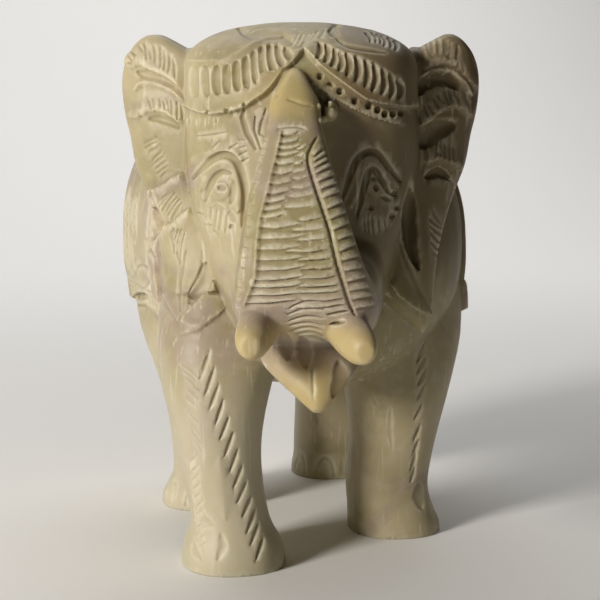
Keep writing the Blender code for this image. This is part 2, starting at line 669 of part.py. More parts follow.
def centre(mesh):
    """Moves the stone so that the origin is under the middle of its box."""
    corners = np.array([vertex.co for vertex in mesh.vertices])
    middle = (corners.min(axis=0) + corners.max(axis=0)) / 2
    mesh.transform(Matrix.Translation((-middle[0], -middle[1], 0)))


def stone():
    material = bpy.data.materials.new("stone")
    material.use_nodes = True
    shader = material.node_tree.nodes["Principled BSDF"]
    shader.inputs["Base Color"].default_value = STONE
    shader.inputs["Roughness"].default_value = 0.45
    shader.inputs["Metallic"].default_value = 0.0
    return material


def main():
    for item in list(bpy.data.objects):
        bpy.data.objects.remove(item)
    skin = rough_block()
    carve(skin)
    mesh = faceted(skin)
    flat_soles(mesh)
    centre(mesh)
    mesh.name = "elephant"
    mesh.materials.clear()
    mesh.materials.append(stone())
    elephant = bpy.data.objects.new("elephant", mesh)
    bpy.context.scene.collection.objects.link(elephant)
    mesh.shade_smooth()
    mesh.set_sharp_from_angle(angle=math.radians(40))
    return elephant


main()
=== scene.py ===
"""Looks of the stone elephant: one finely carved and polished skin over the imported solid.

Metres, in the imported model's frame. Free-form places are in units of a hundredth of the carving's height.
"""
from math import copysign, cos, pi, radians, sin

import bmesh
import bpy
import numpy as np
from mathutils import Matrix, Vector


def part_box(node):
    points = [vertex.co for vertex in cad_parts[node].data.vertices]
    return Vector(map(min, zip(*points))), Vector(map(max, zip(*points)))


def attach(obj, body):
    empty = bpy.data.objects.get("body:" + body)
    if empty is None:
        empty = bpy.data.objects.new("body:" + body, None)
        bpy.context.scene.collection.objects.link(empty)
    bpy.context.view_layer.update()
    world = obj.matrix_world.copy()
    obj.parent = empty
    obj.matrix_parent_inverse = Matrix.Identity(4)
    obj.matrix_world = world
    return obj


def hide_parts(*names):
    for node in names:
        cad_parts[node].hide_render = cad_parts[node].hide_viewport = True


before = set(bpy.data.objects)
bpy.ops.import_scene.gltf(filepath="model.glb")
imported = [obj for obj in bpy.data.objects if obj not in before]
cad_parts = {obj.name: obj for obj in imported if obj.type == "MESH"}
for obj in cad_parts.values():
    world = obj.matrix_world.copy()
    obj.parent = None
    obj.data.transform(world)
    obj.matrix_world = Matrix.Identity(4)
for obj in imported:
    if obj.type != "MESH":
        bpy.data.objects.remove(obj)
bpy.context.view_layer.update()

LOW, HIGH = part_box("elephant")

# Driving sizes
HEIGHT = HIGH[2] - LOW[2]
BODY_WIDTH = 0.068
CLOTH_RISE = 0.0008
HEM_RISE = 0.0014
CAP_RISE = 0.0009
RIM_RISE = 0.0003
BROW_RISE = 0.0005
ROLL_RISE = 0.0007
LOBE_RISE = 0.0008
ARRIS_RISE = 0.0004
CREST_DEPTH = 0.0004
TRUNK_GROOVE_DEPTH = 0.00045
RAIL_GROOVE_DEPTH = 0.0008
LEG_NOTCH_DEPTH = 0.0007
FLUTE_DEPTH = 0.00055
DOT_DEPTH = 0.0010
STROKE_DEPTH = 0.0005
EYE_DEPTH = 0.00045
BUMP_HEIGHT = 0.0002
SCATTER_DEPTH = 0.0026
TOE_NAILS = 4
CLOTH_LEAVES = 4
TRIANGLES = 196000
WELD = 1e-6

UNIT = HEIGHT / 100.0
GRAIN = 0.26 * UNIT
SOFTENING = 7.5
RING_POINTS = 64
SOLE_CUT = 3.0

# Pose: the head turns about a point in the neck, and the left feet stand ahead of the right ones
NECK_Y = -10.0
HEAD_TURN = radians(14.0)

# Body stations from chest to rump: y, middle z, half width as a share of the widest, half height
BODY_MIDDLE_X = 0.4
BODY_POWER = 2.3
BODY_STATIONS = (
    (-31, 56, 0.36, 15), (-27, 57, 0.66, 23), (-18, 58, 0.88, 27), (-6, 59, 0.95, 29.5),
    (8, 59.8, 0.98, 31), (22, 60, 1.0, 31.5), (33, 59, 0.95, 30), (42, 57, 0.8, 26),
    (47.5, 55.5, 0.54, 18.5), (50, 54.5, 0.2, 8),
)
# Leg stations from the sole up: z, x, y, half width, half depth
FRONT_LEFT = (
    (-SOLE_CUT, -18.4, -31, 9.6, 10.4), (1.5, -18.5, -31, 9.6, 10.4), (4.5, -18.6, -31, 8.9, 9.8),
    (9, -19.1, -31, 7.2, 8.6), (18, -20.8, -30.5, 7.6, 8.8), (25.5, -21.2, -30, 8.3, 9.6),
    (34, -20.8, -27.5, 10.2, 11.5), (42, -19.5, -24, 12.2, 13), (50, -17, -20, 13, 14),
)
FRONT_RIGHT = (
    (-SOLE_CUT, 17.4, -14.3, 9.2, 10), (1.5, 17.4, -14.3, 9.2, 10), (4.5, 16.7, -14.3, 8.6, 9.5),
    (9, 16.0, -14, 8.2, 8.8), (14, 16.4, -14, 8.3, 9), (20.5, 17.3, -14, 8.8, 9.6),
    (30, 18.0, -13.5, 10.7, 11.2), (40, 18.2, -11, 13.4, 13), (50, 18, -8, 14.5, 14),
)
HIND_LEFT = (
    (-SOLE_CUT, -17.1, 15, 9.8, 10.2), (1.5, -17.1, 15, 9.8, 10.2), (4.5, -16.4, 15, 9.1, 9.7),
    (8, -15.8, 15.5, 8.5, 9.4), (18, -16.2, 18, 8.8, 10.4), (28, -17, 21.5, 10.2, 12.5),
    (38, -17.6, 25, 12.8, 15.5), (50, -17, 27, 15, 17),
)
HIND_RIGHT = (
    (-SOLE_CUT, 16.4, 37, 9.6, 9.6), (1.5, 16.4, 37, 9.6, 9.6), (4.5, 16.4, 37, 9.1, 9.2),
    (9, 16.3, 37, 8.9, 9), (19, 17.0, 36, 9.4, 10.2), (28, 18.0, 34, 11.3, 12),
    (38, 18, 33, 13.5, 14), (50, 17, 31, 15, 15),
)

# Head stations from chin to crest, in the head's own frame: z, y, half width, half depth
SKULL_STATIONS = (
    (36, -23, 4, 7), (39, -23, 8.5, 11.5), (44, -22, 12, 14), (50, -21.5, 14.8, 14.5),
    (58, -20.5, 17.6, 15), (66, -20.5, 20, 15.3), (74, -20.5, 21.2, 15.6), (80, -21, 21.2, 16),
    (86, -21.5, 20.2, 16.2), (91.5, -21, 20.3, 15), (94.6, -20, 19.0, 13), (97.4, -18.5, 13.9, 9.6),
    (99, -17.5, 6, 4.2),
)
CROWN_START_Z = 89
CROWN_SHIFT = -0.9
# Ear stations from the leaf tip up: z, inner x, outer x, y, half thickness
EAR_STATIONS = (
    (42.4, 22.6, 23.2, -21, 0.5), (44.5, 20.2, 24.2, -20.5, 2.4), (47, 17, 24.8, -20, 3.8),
    (51, 13.5, 25.2, -19.5, 4.8),
    (56, 13, 25.6, -18.5, 5.6), (62.5, 14, 26.8, -17, 6.2), (68.6, 14, 28.8, -16, 6.4),
    (74, 15, 31, -15.8, 6.2), (79.5, 16, 32.1, -16, 5.6), (83, 16, 33.1, -16.5, 5),
    (87, 16, 33.8, -16.5, 4.5), (91, 17, 33.8, -16.5, 4.1), (94.5, 19.8, 32.6, -16.5, 3.6),
    (97, 24, 30.4, -16.5, 2.6), (98.2, 26.4, 28.4, -16.5, 1.2),
)
EAR_SLANT = radians(20.0)
EAR_REACH = {-1: 0.7, 1: -0.9}
# Trunk stations from the face round to the tip: x, y, z, turn of the section, half width, half depth
TRUNK_STATIONS = (
    (1.0, -26, 53, 0, 14, 12), (1.4, -36, 52, 5, 13, 9.4), (1.6, -44, 51.2, 18, 12.2, 7.6),
    (1.5, -49.2, 52.6, 50, 11.9, 6), (0.7, -50.6, 57.5, 92, 10.4, 5), (-0.1, -48.7, 65, 105, 8.6, 4.6),
    (-0.4, -45.8, 73, 112, 6.4, 4.3), (-0.5, -42.8, 80, 115, 4.6, 4), (-0.6, -40.6, 84, 118, 4.3, 3.8),
    (-0.7, -38, 87.6, 120, 3, 3), (-0.7, -36.5, 89.8, 122, 1.2, 1.4),
)
# Tusk and lip stations: x, y, z, turn of the section, half width, half depth
LEFT_TUSK = (
    (-5.4, -40, 49.4, 0, 3.8, 4.2), (-6, -48, 48, 0, 3.5, 4.3), (-6.6, -54, 46.6, 0, 3.1, 3.9),
    (-6.9, -57, 45.8, 0, 2.7, 3.2), (-7, -59, 45, 0, 1.5, 1.8),
)
RIGHT_TUSK = (
    (6, -40, 49.6, 0, 3.8, 4.2), (7.4, -47, 48.1, 0, 3.6, 4.2), (9, -53, 46.4, 0, 3.3, 3.8),
    (10.5, -57, 45, 0, 2.8, 3.1), (11.3, -59.2, 44.2, 0, 1.5, 1.7),
)
LIP_STATIONS = (
    (1.2, -26, 43.2, 0, 8.6, 6), (1.8, -36, 42.2, -4, 9.2, 5), (2.3, -43, 40.6, -14, 8.6, 4),
    (2.8, -46.8, 38, -34, 6.2, 3), (3.3, -49, 35.2, -48, 3.3, 2), (3.5, -49.9, 33, -52, 1.0, 0.9),
)
# Tail stations down the rump: z, x, y, half width, half depth
TAIL_STATIONS = (
    (78, 0, 46, 2.4, 2.4), (70, 0.2, 50, 2.4, 2.4), (60, 0.8, 51.3, 2, 2.1), (50, 1.8, 50.8, 1.8, 1.9),
    (41, 2.8, 49.2, 2.5, 2.3), (35, 3.4, 47.8, 2.2, 2), (31, 3.6, 47, 0.8, 0.8),
)

# The photograph's camera, in units, and its picture, in pixels
PHOTO_EYE = (-55.7, -266.7, 73.0)
PHOTO_PAN = radians(11.9)
PHOTO_DIP = radians(5.71)
PHOTO_FOCAL = 1300.0
PHOTO_SIZE = 600

# A carver's hand: seeded, so every run cuts the same strokes
HAND = np.random.default_rng(7)
WANDER = 0.45
CUT_SHARES = (0.0, 0.2, 0.4, 0.6, 0.8, 1.0)
CHALK_REACH = 1.6
CHALK_FADE = 12

# Trunk lines, read off the photograph in its pixels, from the top down
LEFT_ARRIS = ((283, 132), (278, 155), (272, 178), (267, 200), (262, 218), (259, 240), (257, 275),
              (252, 290), (246, 306))
RIGHT_GROOVE = ((319, 137), (312, 149), (310, 160), (315, 179), (323, 203), (332, 231), (339, 263),
                (345, 283), (351, 303), (357, 315))
LEFT_RAIL_OUTER = ((264, 140), (259, 160), (253, 190), (248, 220), (244, 250), (240, 280), (237, 306))
LEFT_RAIL_STEP = (6, 1)
LEFT_RAIL_INNER = tuple((x + LEFT_RAIL_STEP[0], y + LEFT_RAIL_STEP[1]) for x, y in LEFT_RAIL_OUTER)
RIGHT_RAIL_INNER = ((316, 156), (317, 172), (325, 194), (335, 224), (343, 254), (350, 284), (358, 309))
RIGHT_RAIL_OUTER = ((325, 147), (332, 164), (341, 188), (350, 217), (359, 248), (367, 279), (376, 304))
LEFT_LIPS = ((134, 300), (142, 301), (148, 303), (155, 302), (163, 297), (173, 296), (183, 295), (193, 292),
             (202, 288), (210, 284), (217, 288), (227, 306), (238, 308), (249, 303), (260, 306), (270, 308),
             (280, 306), (287, 304), (295, 302), (303, 298))
RIGHT_LIPS = ((146, 301), (154, 302), (161, 300), (169, 298), (177, 297), (186, 296), (195, 293),
              (205, 289), (218, 304), (228, 298), (238, 303), (249, 291), (258, 304), (267, 306),
              (276, 303), (284, 302), (291, 303), (298, 306), (306, 302))
FINE_RIGHT_LIPS = 8
RAIL_NICKS = 18
LIP_RISE = 0.00015
FACE_START = ((279, 129), (290, 127), (300, 127), (309, 130))
TIP_CREASE = ((289, 99), (296, 101), (304, 104), (315, 106))
TIP_DIMPLE = ((275, 95), (279, 97))

# Cap and forehead lines, in pixels
CAP_RIM_LEFT = ((184, 104), (195, 110), (205, 113), (216, 114), (232, 112), (247, 107), (262, 97),
                (276, 83), (290, 69), (301, 57))
CAP_RIM_RIGHT = ((306, 52), (311, 56), (322, 68), (336, 79), (353, 91), (366, 100), (385, 105), (410, 108))
DOT_BAND_EDGE = ((304, 68), (312, 80), (318, 88), (326, 95), (338, 100), (356, 110), (372, 117), (392, 123),
                 (410, 126))
CAP_LEDGE = ((190, 61), (205, 63), (226, 63), (242, 57), (255, 49), (270, 41), (284, 40))
CREST_VALLEY = ((238, 30), (246, 37), (256, 40), (268, 40), (284, 41), (298, 48))
CREST_DENT_RIGHT = ((338, 29), (334, 36), (338, 41))
CROWN_LEAF_EDGE = ((338, 39), (345, 44), (352, 47), (362, 49), (376, 51), (390, 53))
FLUTES = 11
LEFT_FLUTE_HEADS = ((196, 66), (212, 66), (228, 65), (242, 60), (254, 52), (265, 45), (276, 43), (287, 47))
LEFT_FLUTE_FEET = ((198, 97), (214, 96), (228, 94), (243, 91), (256, 85), (268, 78), (281, 69), (293, 58))
RIGHT_FLUTE_HEADS = ((320, 42), (331, 45), (340, 51), (350, 53), (364, 58), (377, 65), (388, 71), (399, 78))
RIGHT_FLUTE_FEET = ((319, 58), (328, 64), (339, 70), (350, 77), (364, 87), (376, 92), (388, 96), (400, 99))
CROWN_LEAF_HEADS = ((366, 32), (376, 33), (384, 36), (395, 41))
CROWN_LEAF_FEET = ((372, 43), (380, 44), (388, 47), (397, 51))
CREST_RAY_HEADS = ((293, 46), (302, 46), (312, 42), (330, 33))
CREST_RAY_FEET = ((300, 34), (310, 34), (319, 31), (334, 28))
DRILLED_DOTS = ((322, 76), (332, 85), (342, 91), (357, 101), (371, 106), (380, 110), (387, 114), (395, 114),
                (403, 113))
RIM_NICKS = ((209, 112), (228, 111), (246, 105), (263, 94))
FOREHEAD_CUTS = (
    (((246, 108), (244, 118), (249, 134), (258, 150)), 3.6, 0.9),
    (((257, 116), (256, 130), (263, 150)), 1.9, 0.8),
    (((268, 108), (263, 124), (261, 134), (267, 137)), 2.2, 0.8),
    (((198, 136), (210, 135), (229, 132)), 1.9, 0.5),
    (((214, 147), (221, 141)), 1.7, 0.6), (((231, 148), (240, 143)), 1.7, 0.6),
)
FOREHEAD_FANS = (
    (((190, 117), (217, 118)), ((191, 126), (217, 124)), 4),
    (((240, 141), (241, 162)), ((249, 140), (250, 158)), 4),
)
BROW_RIDGES = (
    ((189, 172), (193, 161), (206, 153), (222, 150), (235, 153), (243, 162)),
    ((203, 190), (208, 176), (217, 166), (229, 163), (237, 172), (240, 190), (240, 212)),
    ((352, 208), (358, 190), (362, 170), (369, 161), (380, 164), (388, 174), (399, 187)),
)
HEAD_BOSSES = (((329, 111), 11, 0.0046), ((222, 191), 10, 0.0005), ((377, 188), 10, 0.0007))
KNOB_PETALS = (((333, 101), 4.5), ((333, 113), 4.5), ((325, 120), 4.5), ((323, 106), 4))
PETAL_RISE = 0.0007
TIP_PINCH = 0.35
TIP_MIDDLE_X = -0.6

# Eye and cheek lines, in pixels, with their half width and share of the eye's depth
EYE_CUTS = (
    (((193, 180), (200, 172), (213, 160), (225, 155), (236, 159), (243, 172), (247, 194), (244, 228)),
     4.2, 1.25),
    (((206, 202), (209, 192), (213, 183), (218, 176), (225, 172), (233, 174)), 3.4, 1.0),
    (((235, 181), (235, 192), (232, 204)), 3.4, 0.7), (((219, 188), (228, 188)), 3.8, 1.0),
    (((230, 212), (237, 222)), 4.0, 0.5),
    (((341, 207), (347, 192), (353, 174), (359, 160), (370, 152), (380, 154), (392, 169), (403, 182)),
     3.8, 1.3),
    (((359, 216), (363, 203), (366, 188), (370, 174), (376, 170), (384, 181), (391, 192), (399, 196)),
     3.4, 1.1),
    (((377, 184), (379, 191)), 3.6, 1.1), (((383, 197), (393, 200)), 3.0, 0.7),
)
CHEEK_FANS = (
    (((213, 208), (221, 210), (228, 213)), ((211, 222), (218, 231), (226, 233)), 4),
    (((366, 218), (374, 214), (387, 218)), ((367, 231), (375, 233), (388, 229)), 5),
    (((199, 213), (208, 224), (216, 232)), ((206, 215), (214, 226), (221, 236)), 3),
)
CHEEK_DOTS = ((233, 227), (397, 193), (399, 208), (394, 216), (373, 208))
CHEEK_LINES = (((211, 206), (219, 203), (225, 206), (229, 210)), ((190, 191), (196, 188)))

# Ear lines, in pixels: the lobes' edges from left to right with their height and reach, then the rolls
# and the hollows
LEFT_LOBE_EDGES = (
    (((122, 66), (134, 68), (142, 65), (152, 70), (163, 75), (173, 80), (184, 92)), LOBE_RISE, 20),
    (((126, 117), (140, 118), (150, 112), (158, 111), (166, 113), (175, 118), (186, 127)),
     LOBE_RISE * 0.8, 18),
    (((186, 171), (174, 178), (166, 184), (158, 188), (146, 192)), LOBE_RISE, 24),
    (((194, 206), (182, 216), (174, 223), (163, 228)), LOBE_RISE, 22),
    (((178, 335), (190, 334), (201, 330), (213, 321), (226, 310), (238, 294)), LOBE_RISE * 0.8, 22),
    (((220, 262), (216, 280), (209, 293), (199, 304), (188, 315), (181, 331)), LOBE_RISE, 20),
)
RIGHT_LOBE_EDGES = (
    (((424, 70), (435, 66), (445, 64), (455, 66), (463, 72), (469, 80), (478, 94)), LOBE_RISE, 18),
    (((411, 132), (420, 128), (430, 123), (438, 116), (446, 110), (455, 107), (464, 111), (474, 122)),
     LOBE_RISE, 17),
    (((424, 164), (440, 160), (450, 163), (458, 168), (467, 180)), LOBE_RISE, 16),
    (((388, 280), (400, 296), (412, 306), (425, 314), (438, 320)), LOBE_RISE * 0.9, 16),
)
LEFT_LOBE_ROLL = ((137, 90), (141, 84), (148, 82), (156, 82), (165, 85), (176, 92), (186, 102))
LEFT_CURL = (131, 58)
RIGHT_LOBE_ROLL = ((424, 76), (440, 71), (455, 73), (466, 82), (473, 96))
LEFT_EAR_HOLLOWS = (
    (((138, 71), (150, 76), (163, 80), (176, 87)), 7, 0.0006),
    (((150, 119), (160, 118), (172, 122), (182, 128)), 5, 0.0005),
    (((208, 262), (205, 282), (190, 304)), 8, 0.0006),
)
RIGHT_EAR_HOLLOWS = (
    (((419, 96), (425, 85), (436, 78), (450, 79), (462, 89)), 9, 0.0017),
    (((422, 148), (438, 130), (458, 125)), 11, 0.0015),
    (((412, 186), (411, 220), (413, 246), (421, 270)), 8, 0.0024), (((452, 214), (459, 229)), 7, 0.0012),
    (((427, 178), (440, 172), (452, 178)), 6, 0.0014), (((446, 250), (444, 285), (446, 320)), 5, 0.0010),
)
LEFT_EAR_FANS = (
    (((128, 62), (131, 52), (139, 45)), ((133, 66), (137, 57), (143, 51)), 4, 1.8, 0),
    (((145, 45), (153, 44), (161, 46), (169, 51), (177, 60)),
     ((148, 60), (155, 63), (162, 66), (169, 70), (177, 78)), 7, 2.2, 1),
    (((151, 97), (158, 97), (166, 98), (174, 100), (182, 105)),
     ((152, 109), (159, 108), (166, 110), (174, 115), (182, 121)), 8, 1.9, 0.6),
    (((158, 137), (163, 144), (166, 152), (169, 161), (173, 169)),
     ((145, 144), (148, 153), (151, 162), (155, 171), (161, 178)), 8, 1.8, -1),
    (((171, 193), (178, 195), (184, 203)), ((158, 206), (164, 214), (171, 221)), 6, 1.8, -1),
    (((174, 228), (181, 228), (188, 233)), ((171, 243), (176, 257), (184, 266)), 6, 1.8, -2),
)
LEFT_EAR_LINES = (
    (((164, 226), (157, 244), (155, 262), (160, 288), (170, 309), (180, 323)), 2.2),
    (((188, 250), (185, 270), (182, 290), (182, 312)), 2.0),
    (((204, 250), (205, 262), (201, 276), (190, 294)), 2.0),
)
RIGHT_EAR_FANS = (
    (((420, 43), (430, 40), (440, 38), (450, 39), (460, 45)),
     ((426, 57), (434, 55), (442, 54), (450, 55), (458, 60)), 8, 2.6, 1),
    (((417, 108), (427, 101), (437, 94), (448, 89), (458, 89), (468, 95)),
     ((424, 121), (434, 115), (444, 106), (452, 100), (460, 100), (470, 108)), 10, 2.3, 0),
    (((437, 141), (446, 140), (456, 144)), ((440, 155), (447, 157), (456, 162)), 5, 2.2, 0),
    (((431, 210), (431, 226), (431, 248)), ((443, 221), (446, 240), (440, 258)), 6, 2.2, -1),
)
RIGHT_EAR_LINES = (
    (((401, 238), (407, 258), (417, 280), (427, 299), (438, 319)), 2.6),
    (((425, 140), (429, 156), (424, 172)), 2.2), (((447, 178), (455, 184), (450, 204)), 2.2),
)

# Mouth lines, in pixels, with half width and depth
PALATE_ARCS = 7
PALATE_LEFT = ((291, 309), (290, 317), (290, 323), (292, 329), (298, 334), (304, 339))
PALATE_RIGHT = ((325, 302), (328, 313), (327, 322), (325, 329), (326, 336), (327, 342))
MOUTH_CUTS = (
    (((285, 332), (290, 360)), 9, 0.0005), (((304, 336), (308, 368)), 9, 0.0005),
    (((314, 366), (315, 400)), 2.2, 0.0004), (((340, 360), (343, 380), (335, 398)), 9, 0.0005),
    (((327, 308), (346, 305)), 1.8, 0.0007), (((329, 315), (351, 311)), 1.9, 0.0008),
    (((331, 325), (348, 321)), 2.4, 0.0012),
)

# Flank marks, in pixels, with half width and depth
FLANK_CUTS = (
    (((155, 207), (160, 222), (154, 240)), 6, 0.0016), (((147, 238), (151, 250), (157, 258)), 2.4, 0.0006),
    (((134, 297), (149, 297)), 5, 0.0014), (((135, 306), (147, 306)), 2.2, 0.0008),
    (((151, 190), (152, 197), (156, 204)), 2.0, 0.0006),
)
BOSS_CENTRE = (143, 277)
BOSS_HALF_SIZE = (7.5, 12)
BOSS_STEPS = 12

# Leg lines, in pixels, from the top down
LEFT_NOTCHES = 13
LEFT_NOTCH_HEADS = ((211, 350), (231, 415), (249, 480), (265, 537))
LEFT_NOTCH_FEET = ((201, 381), (221, 442), (239, 505), (257, 561))
RIGHT_NOTCHES = 9
RIGHT_NOTCH_HEADS = ((427, 342), (428, 378), (421, 430), (417, 466))
RIGHT_NOTCH_FEET = ((418, 362), (419, 394), (414, 448), (411, 484))
LEFT_LEG_FANS = (
    (((199, 455), (205, 500), (209, 540)), ((190, 463), (196, 508), (199, 547)), 11),
    (((180, 362), (186, 378), (188, 398)), ((201, 378), (203, 392), (201, 410)), 5),
    (((190, 412), (196, 440)), ((200, 424), (204, 452)), 4),
)
RIGHT_LEG_LINES = (((392, 404), (391, 428), (394, 452)), ((372, 396), (379, 408)))
LEFT_LEG_RIDGE = ((221, 455), (224, 490), (227, 522))
LEFT_SCOOPS = ((((199, 527), (207, 522), (215, 526)), 6), (((222, 534), (225, 546), (219, 560)), 5),
               (((195, 542), (197, 553), (203, 560)), 4))
RIGHT_SCOOPS = ((((421, 482), (419, 496), (424, 510)), 6.0),)

# Saddle cloth: where its hem, front and back edges run, in units
HEM_Z = 44.6
CLOTH_FRONT_Y = -15.0
CLOTH_BACK_Y = 34.0
CLOTH_BORDER = 4.2
CLOTH_MARGIN = 8
HEM_CELLS = 16
LEAF_HEIGHT = 19
LEAF_VEINS = 7
HEAD_MIDDLE_Y = -20
HEAD_CLEARANCE = 17

# Where each part of the skin lies, in the head's frame, in units
TRUNK_FRONT_Y = -40.5
TRUNK_Z = (47.5, 80.8)
TIP_FRONT_Y = -37.5
TIP_START_Z = 78.5
TIP_HALF_WIDTH = 6.5
FACE_Y = (-39.6, -5)
FACE_START_Z = 56
FACE_HALF_WIDTH = 23
CHEEK_X = 21.0
CHEEK_TOP_Z = 76
CHEEK_SLOPE = 3.4
EAR_FRONT_Y = -31
EAR_START_Z = 42
MOUTH_FRONT_Y = -30
MOUTH_Z = (30, 53.5)
KNOB_X = (2, 14)
KNOB_FRONT_Y = -46
KNOB_START_Z = 78
FINE_FRONT_Y = -22
FINE_START_Z = 47
FINE_HALF_WIDTH = 24

# Toenails, and the steps of every small arch
FOOT_REACH = 14
FOOT_TOP_Z = 12
NAIL_SPREAD = 66
ARCH_STEPS = 8

# Colours of the stone, linear, and of painted light and shade: the dark umber paints the trunk's shadow, the
# shade colour darkens hollows, and the pale colour also paints light
BEIGE = (0.47, 0.40, 0.25)
OLIVE = (0.32, 0.27, 0.135)
MAUVE = (0.34, 0.26, 0.215)
PAINTED_SHADOW_UMBER = (0.17, 0.12, 0.06)
PALE_FLECKS_AND_PAINTED_LIGHT = (0.61, 0.555, 0.41)
HONEY = (0.50, 0.39, 0.165)
CHALK = (0.72, 0.67, 0.52)
SHADE = (0.24, 0.19, 0.085)
SCATTER_TINT = (1.0, 0.75, 0.4)

# How fine the stone's patterns are, in repeats per metre, then its scratches and its roughness
CLOUD_SCALE = 32
BLUSH_SCALE = 55
STREAK_PATCH_SCALE = 60
CHALK_SCALE = 130
DENT_SCALE = 260
SPECKLE_SCALE = 420
SCRATCH_SCALE = 900
SCRATCH_STRETCH = (1.0, 1.0, 0.06)
SCRATCH_TURNS = ((0.5, -0.4, 0.8), (-0.6, 0.7, 2.3))
ROUGHNESS = (0.42, 0.7)

# Camera and stage, in metres
SENSOR_WIDTH = 36.0
CAMERA_PLACE = (-0.0545, -0.2583, 0.073)
FLOOR_REACH = 0.7
FLOOR_BEND = 1.0
FLOOR_ROUGHNESS = 0.8
BEND_STEPS = 12
FLOOR_COLOUR = (0.88, 0.87, 0.85)
KEY_PLACE = (-0.58, -0.36, 0.28)
KEY_AIM = (0, -0.02, 0.055)
KEY_SIZE = 0.16
KEY_COLOUR = (1.0, 0.96, 0.9)
KEY_POWER = 4.75
BACKDROP_LIGHT_PLACE = (0.1, 0.75, 1.0)
BACKDROP_LIGHT_AIM = (0.1, 1.25, 0.1)
BACKDROP_LIGHT_SIZE = 1.2
BACKDROP_LIGHT_POWER = 10.5
BACKDROP_LIGHT_COLOUR = (1.0, 1.0, 1.0)
WORLD_COLOUR = (1.0, 0.85, 0.68)
WORLD_STRENGTH = 0.015
BEYOND_STRENGTH = 0.7


def between_stations(stations, steps):
    """Catmull-Rom rows between the given ones, so few stations make a smooth loft."""
    rows = np.array(stations, dtype=float)
    padded = np.vstack([rows[0], rows, rows[-1]])
    result = []
    for index in range(len(rows) - 1):
        before, start, end, after = padded[index:index + 4]
        for step in range(steps):
            t = step / steps
            result.append(0.5 * (
                2 * start + (end - before) * t
                + (2 * before - 5 * start + 4 * end - after) * t ** 2
                + (3 * start - before - 3 * end + after) * t ** 3))
    result.append(rows[-1])
    return result


ACROSS = Vector((1, 0, 0))
BACKWARD = Vector((0, 1, 0))
UP = Vector((0, 0, 1))


def ring(centre, across, along, half_across, half_along, power):
    """Points of a superellipse round centre, in plain units."""
    points = []
    for step in range(RING_POINTS):
        angle = 2 * pi * step / RING_POINTS
        side = copysign(abs(cos(angle)) ** (2 / power), cos(angle)) * half_across
        rise = copysign(abs(sin(angle)) ** (2 / power), sin(angle)) * half_along
        points.append(centre + across * side + along * rise)
    return points


def loft(bm, rings, placing=Matrix()):
    """Closed skin over a row of rings, added to the mesh at its real size."""
    rows = []
    for points in rings:
        rows.append([bm.verts.new((placing @ point) * UNIT) for point in points])
    for lower, upper in zip(rows, rows[1:]):
        for index in range(RING_POINTS):
            following = (index + 1) % RING_POINTS
            bm.faces.new((lower[index], lower[following], upper[following], upper[index]))
    bm.faces.new(rows[0])
    bm.faces.new(rows[-1])


def upright_loft(bm, stations, power, placing=Matrix(), steps=3):
    """Loft of level rings: each station is z, x, y, half width, half depth."""
    rings = []
    for z, x, y, half_width, half_depth in between_stations(stations, steps):
        rings.append(ring(Vector((x, y, z)), ACROSS, BACKWARD, half_width, half_depth, power))
    loft(bm, rings, placing)


def turning_loft(bm, stations, power, placing=Matrix(), steps=4):
    """Loft of rings that tip over as they go: turn 0 is upright and facing forward, 90 is level."""
    rings = []
    for x, y, z, turn, half_width, half_depth in between_stations(stations, steps):
        tip = radians(turn)
        along = Vector((0, sin(tip), cos(tip)))
        rings.append(ring(Vector((x, y, z)), ACROSS, along, half_width, half_depth, power))
    loft(bm, rings, placing)


def head_placing():
    """From the head's own frame, whose y = 0 is at the neck, to the elephant's frame."""
    return Matrix.Translation((0, NECK_Y, 0)) @ Matrix.Rotation(-HEAD_TURN, 4, "Z")


def add_body(bm):
    half_body = BODY_WIDTH / 2 / UNIT
    rings = []
    for y, z, width, half_height in between_stations(BODY_STATIONS, 3):
        centre = Vector((BODY_MIDDLE_X, y, z))
        rings.append(ring(centre, ACROSS, UP, width * half_body, half_height, BODY_POWER))
    loft(bm, rings)


def add_legs(bm):
    for stations in (FRONT_LEFT, FRONT_RIGHT, HIND_LEFT, HIND_RIGHT):
        upright_loft(bm, stations, BODY_POWER)


def add_head(bm):
    stations = []
    for z, y, half_width, half_depth in SKULL_STATIONS:
        shift = CROWN_SHIFT * max(z - CROWN_START_Z, 0) / (SKULL_STATIONS[-1][0] - CROWN_START_Z)
        stations.append((z, shift, y, half_width, half_depth))
    upright_loft(bm, stations, 2.7, head_placing())


def add_ears(bm):
    for side in (-1, 1):
        across = Vector((side * cos(EAR_SLANT), sin(EAR_SLANT), 0))
        along = Vector((-side * sin(EAR_SLANT), cos(EAR_SLANT), 0))
        rings = []
        for z, inner, outer, y, half_thickness in between_stations(EAR_STATIONS, 3):
            reach = outer + EAR_REACH[side]
            centre = Vector((side * (inner + reach) / 2, y, z))
            rings.append(ring(centre, across, along, (reach - inner) / 2, half_thickness, 2.8))
        loft(bm, rings, head_placing())


def add_trunk(bm):
    turning_loft(bm, TRUNK_STATIONS, 3.2, head_placing())


def add_mouth(bm):
    for stations in (LEFT_TUSK, RIGHT_TUSK):
        turning_loft(bm, stations, 2.0, head_placing())
    turning_loft(bm, LIP_STATIONS, 1.7, head_placing())


def add_tail(bm):
    upright_loft(bm, TAIL_STATIONS, 2.0)


def linked(name, data):
    """A new object in the scene."""
    obj = bpy.data.objects.new(name, data)
    bpy.context.scene.collection.objects.link(obj)
    return obj


def evaluated(blank):
    """The blank's mesh as its modifiers leave it."""
    graph = bpy.context.evaluated_depsgraph_get()
    return bpy.data.meshes.new_from_object(blank.evaluated_get(graph), depsgraph=graph)


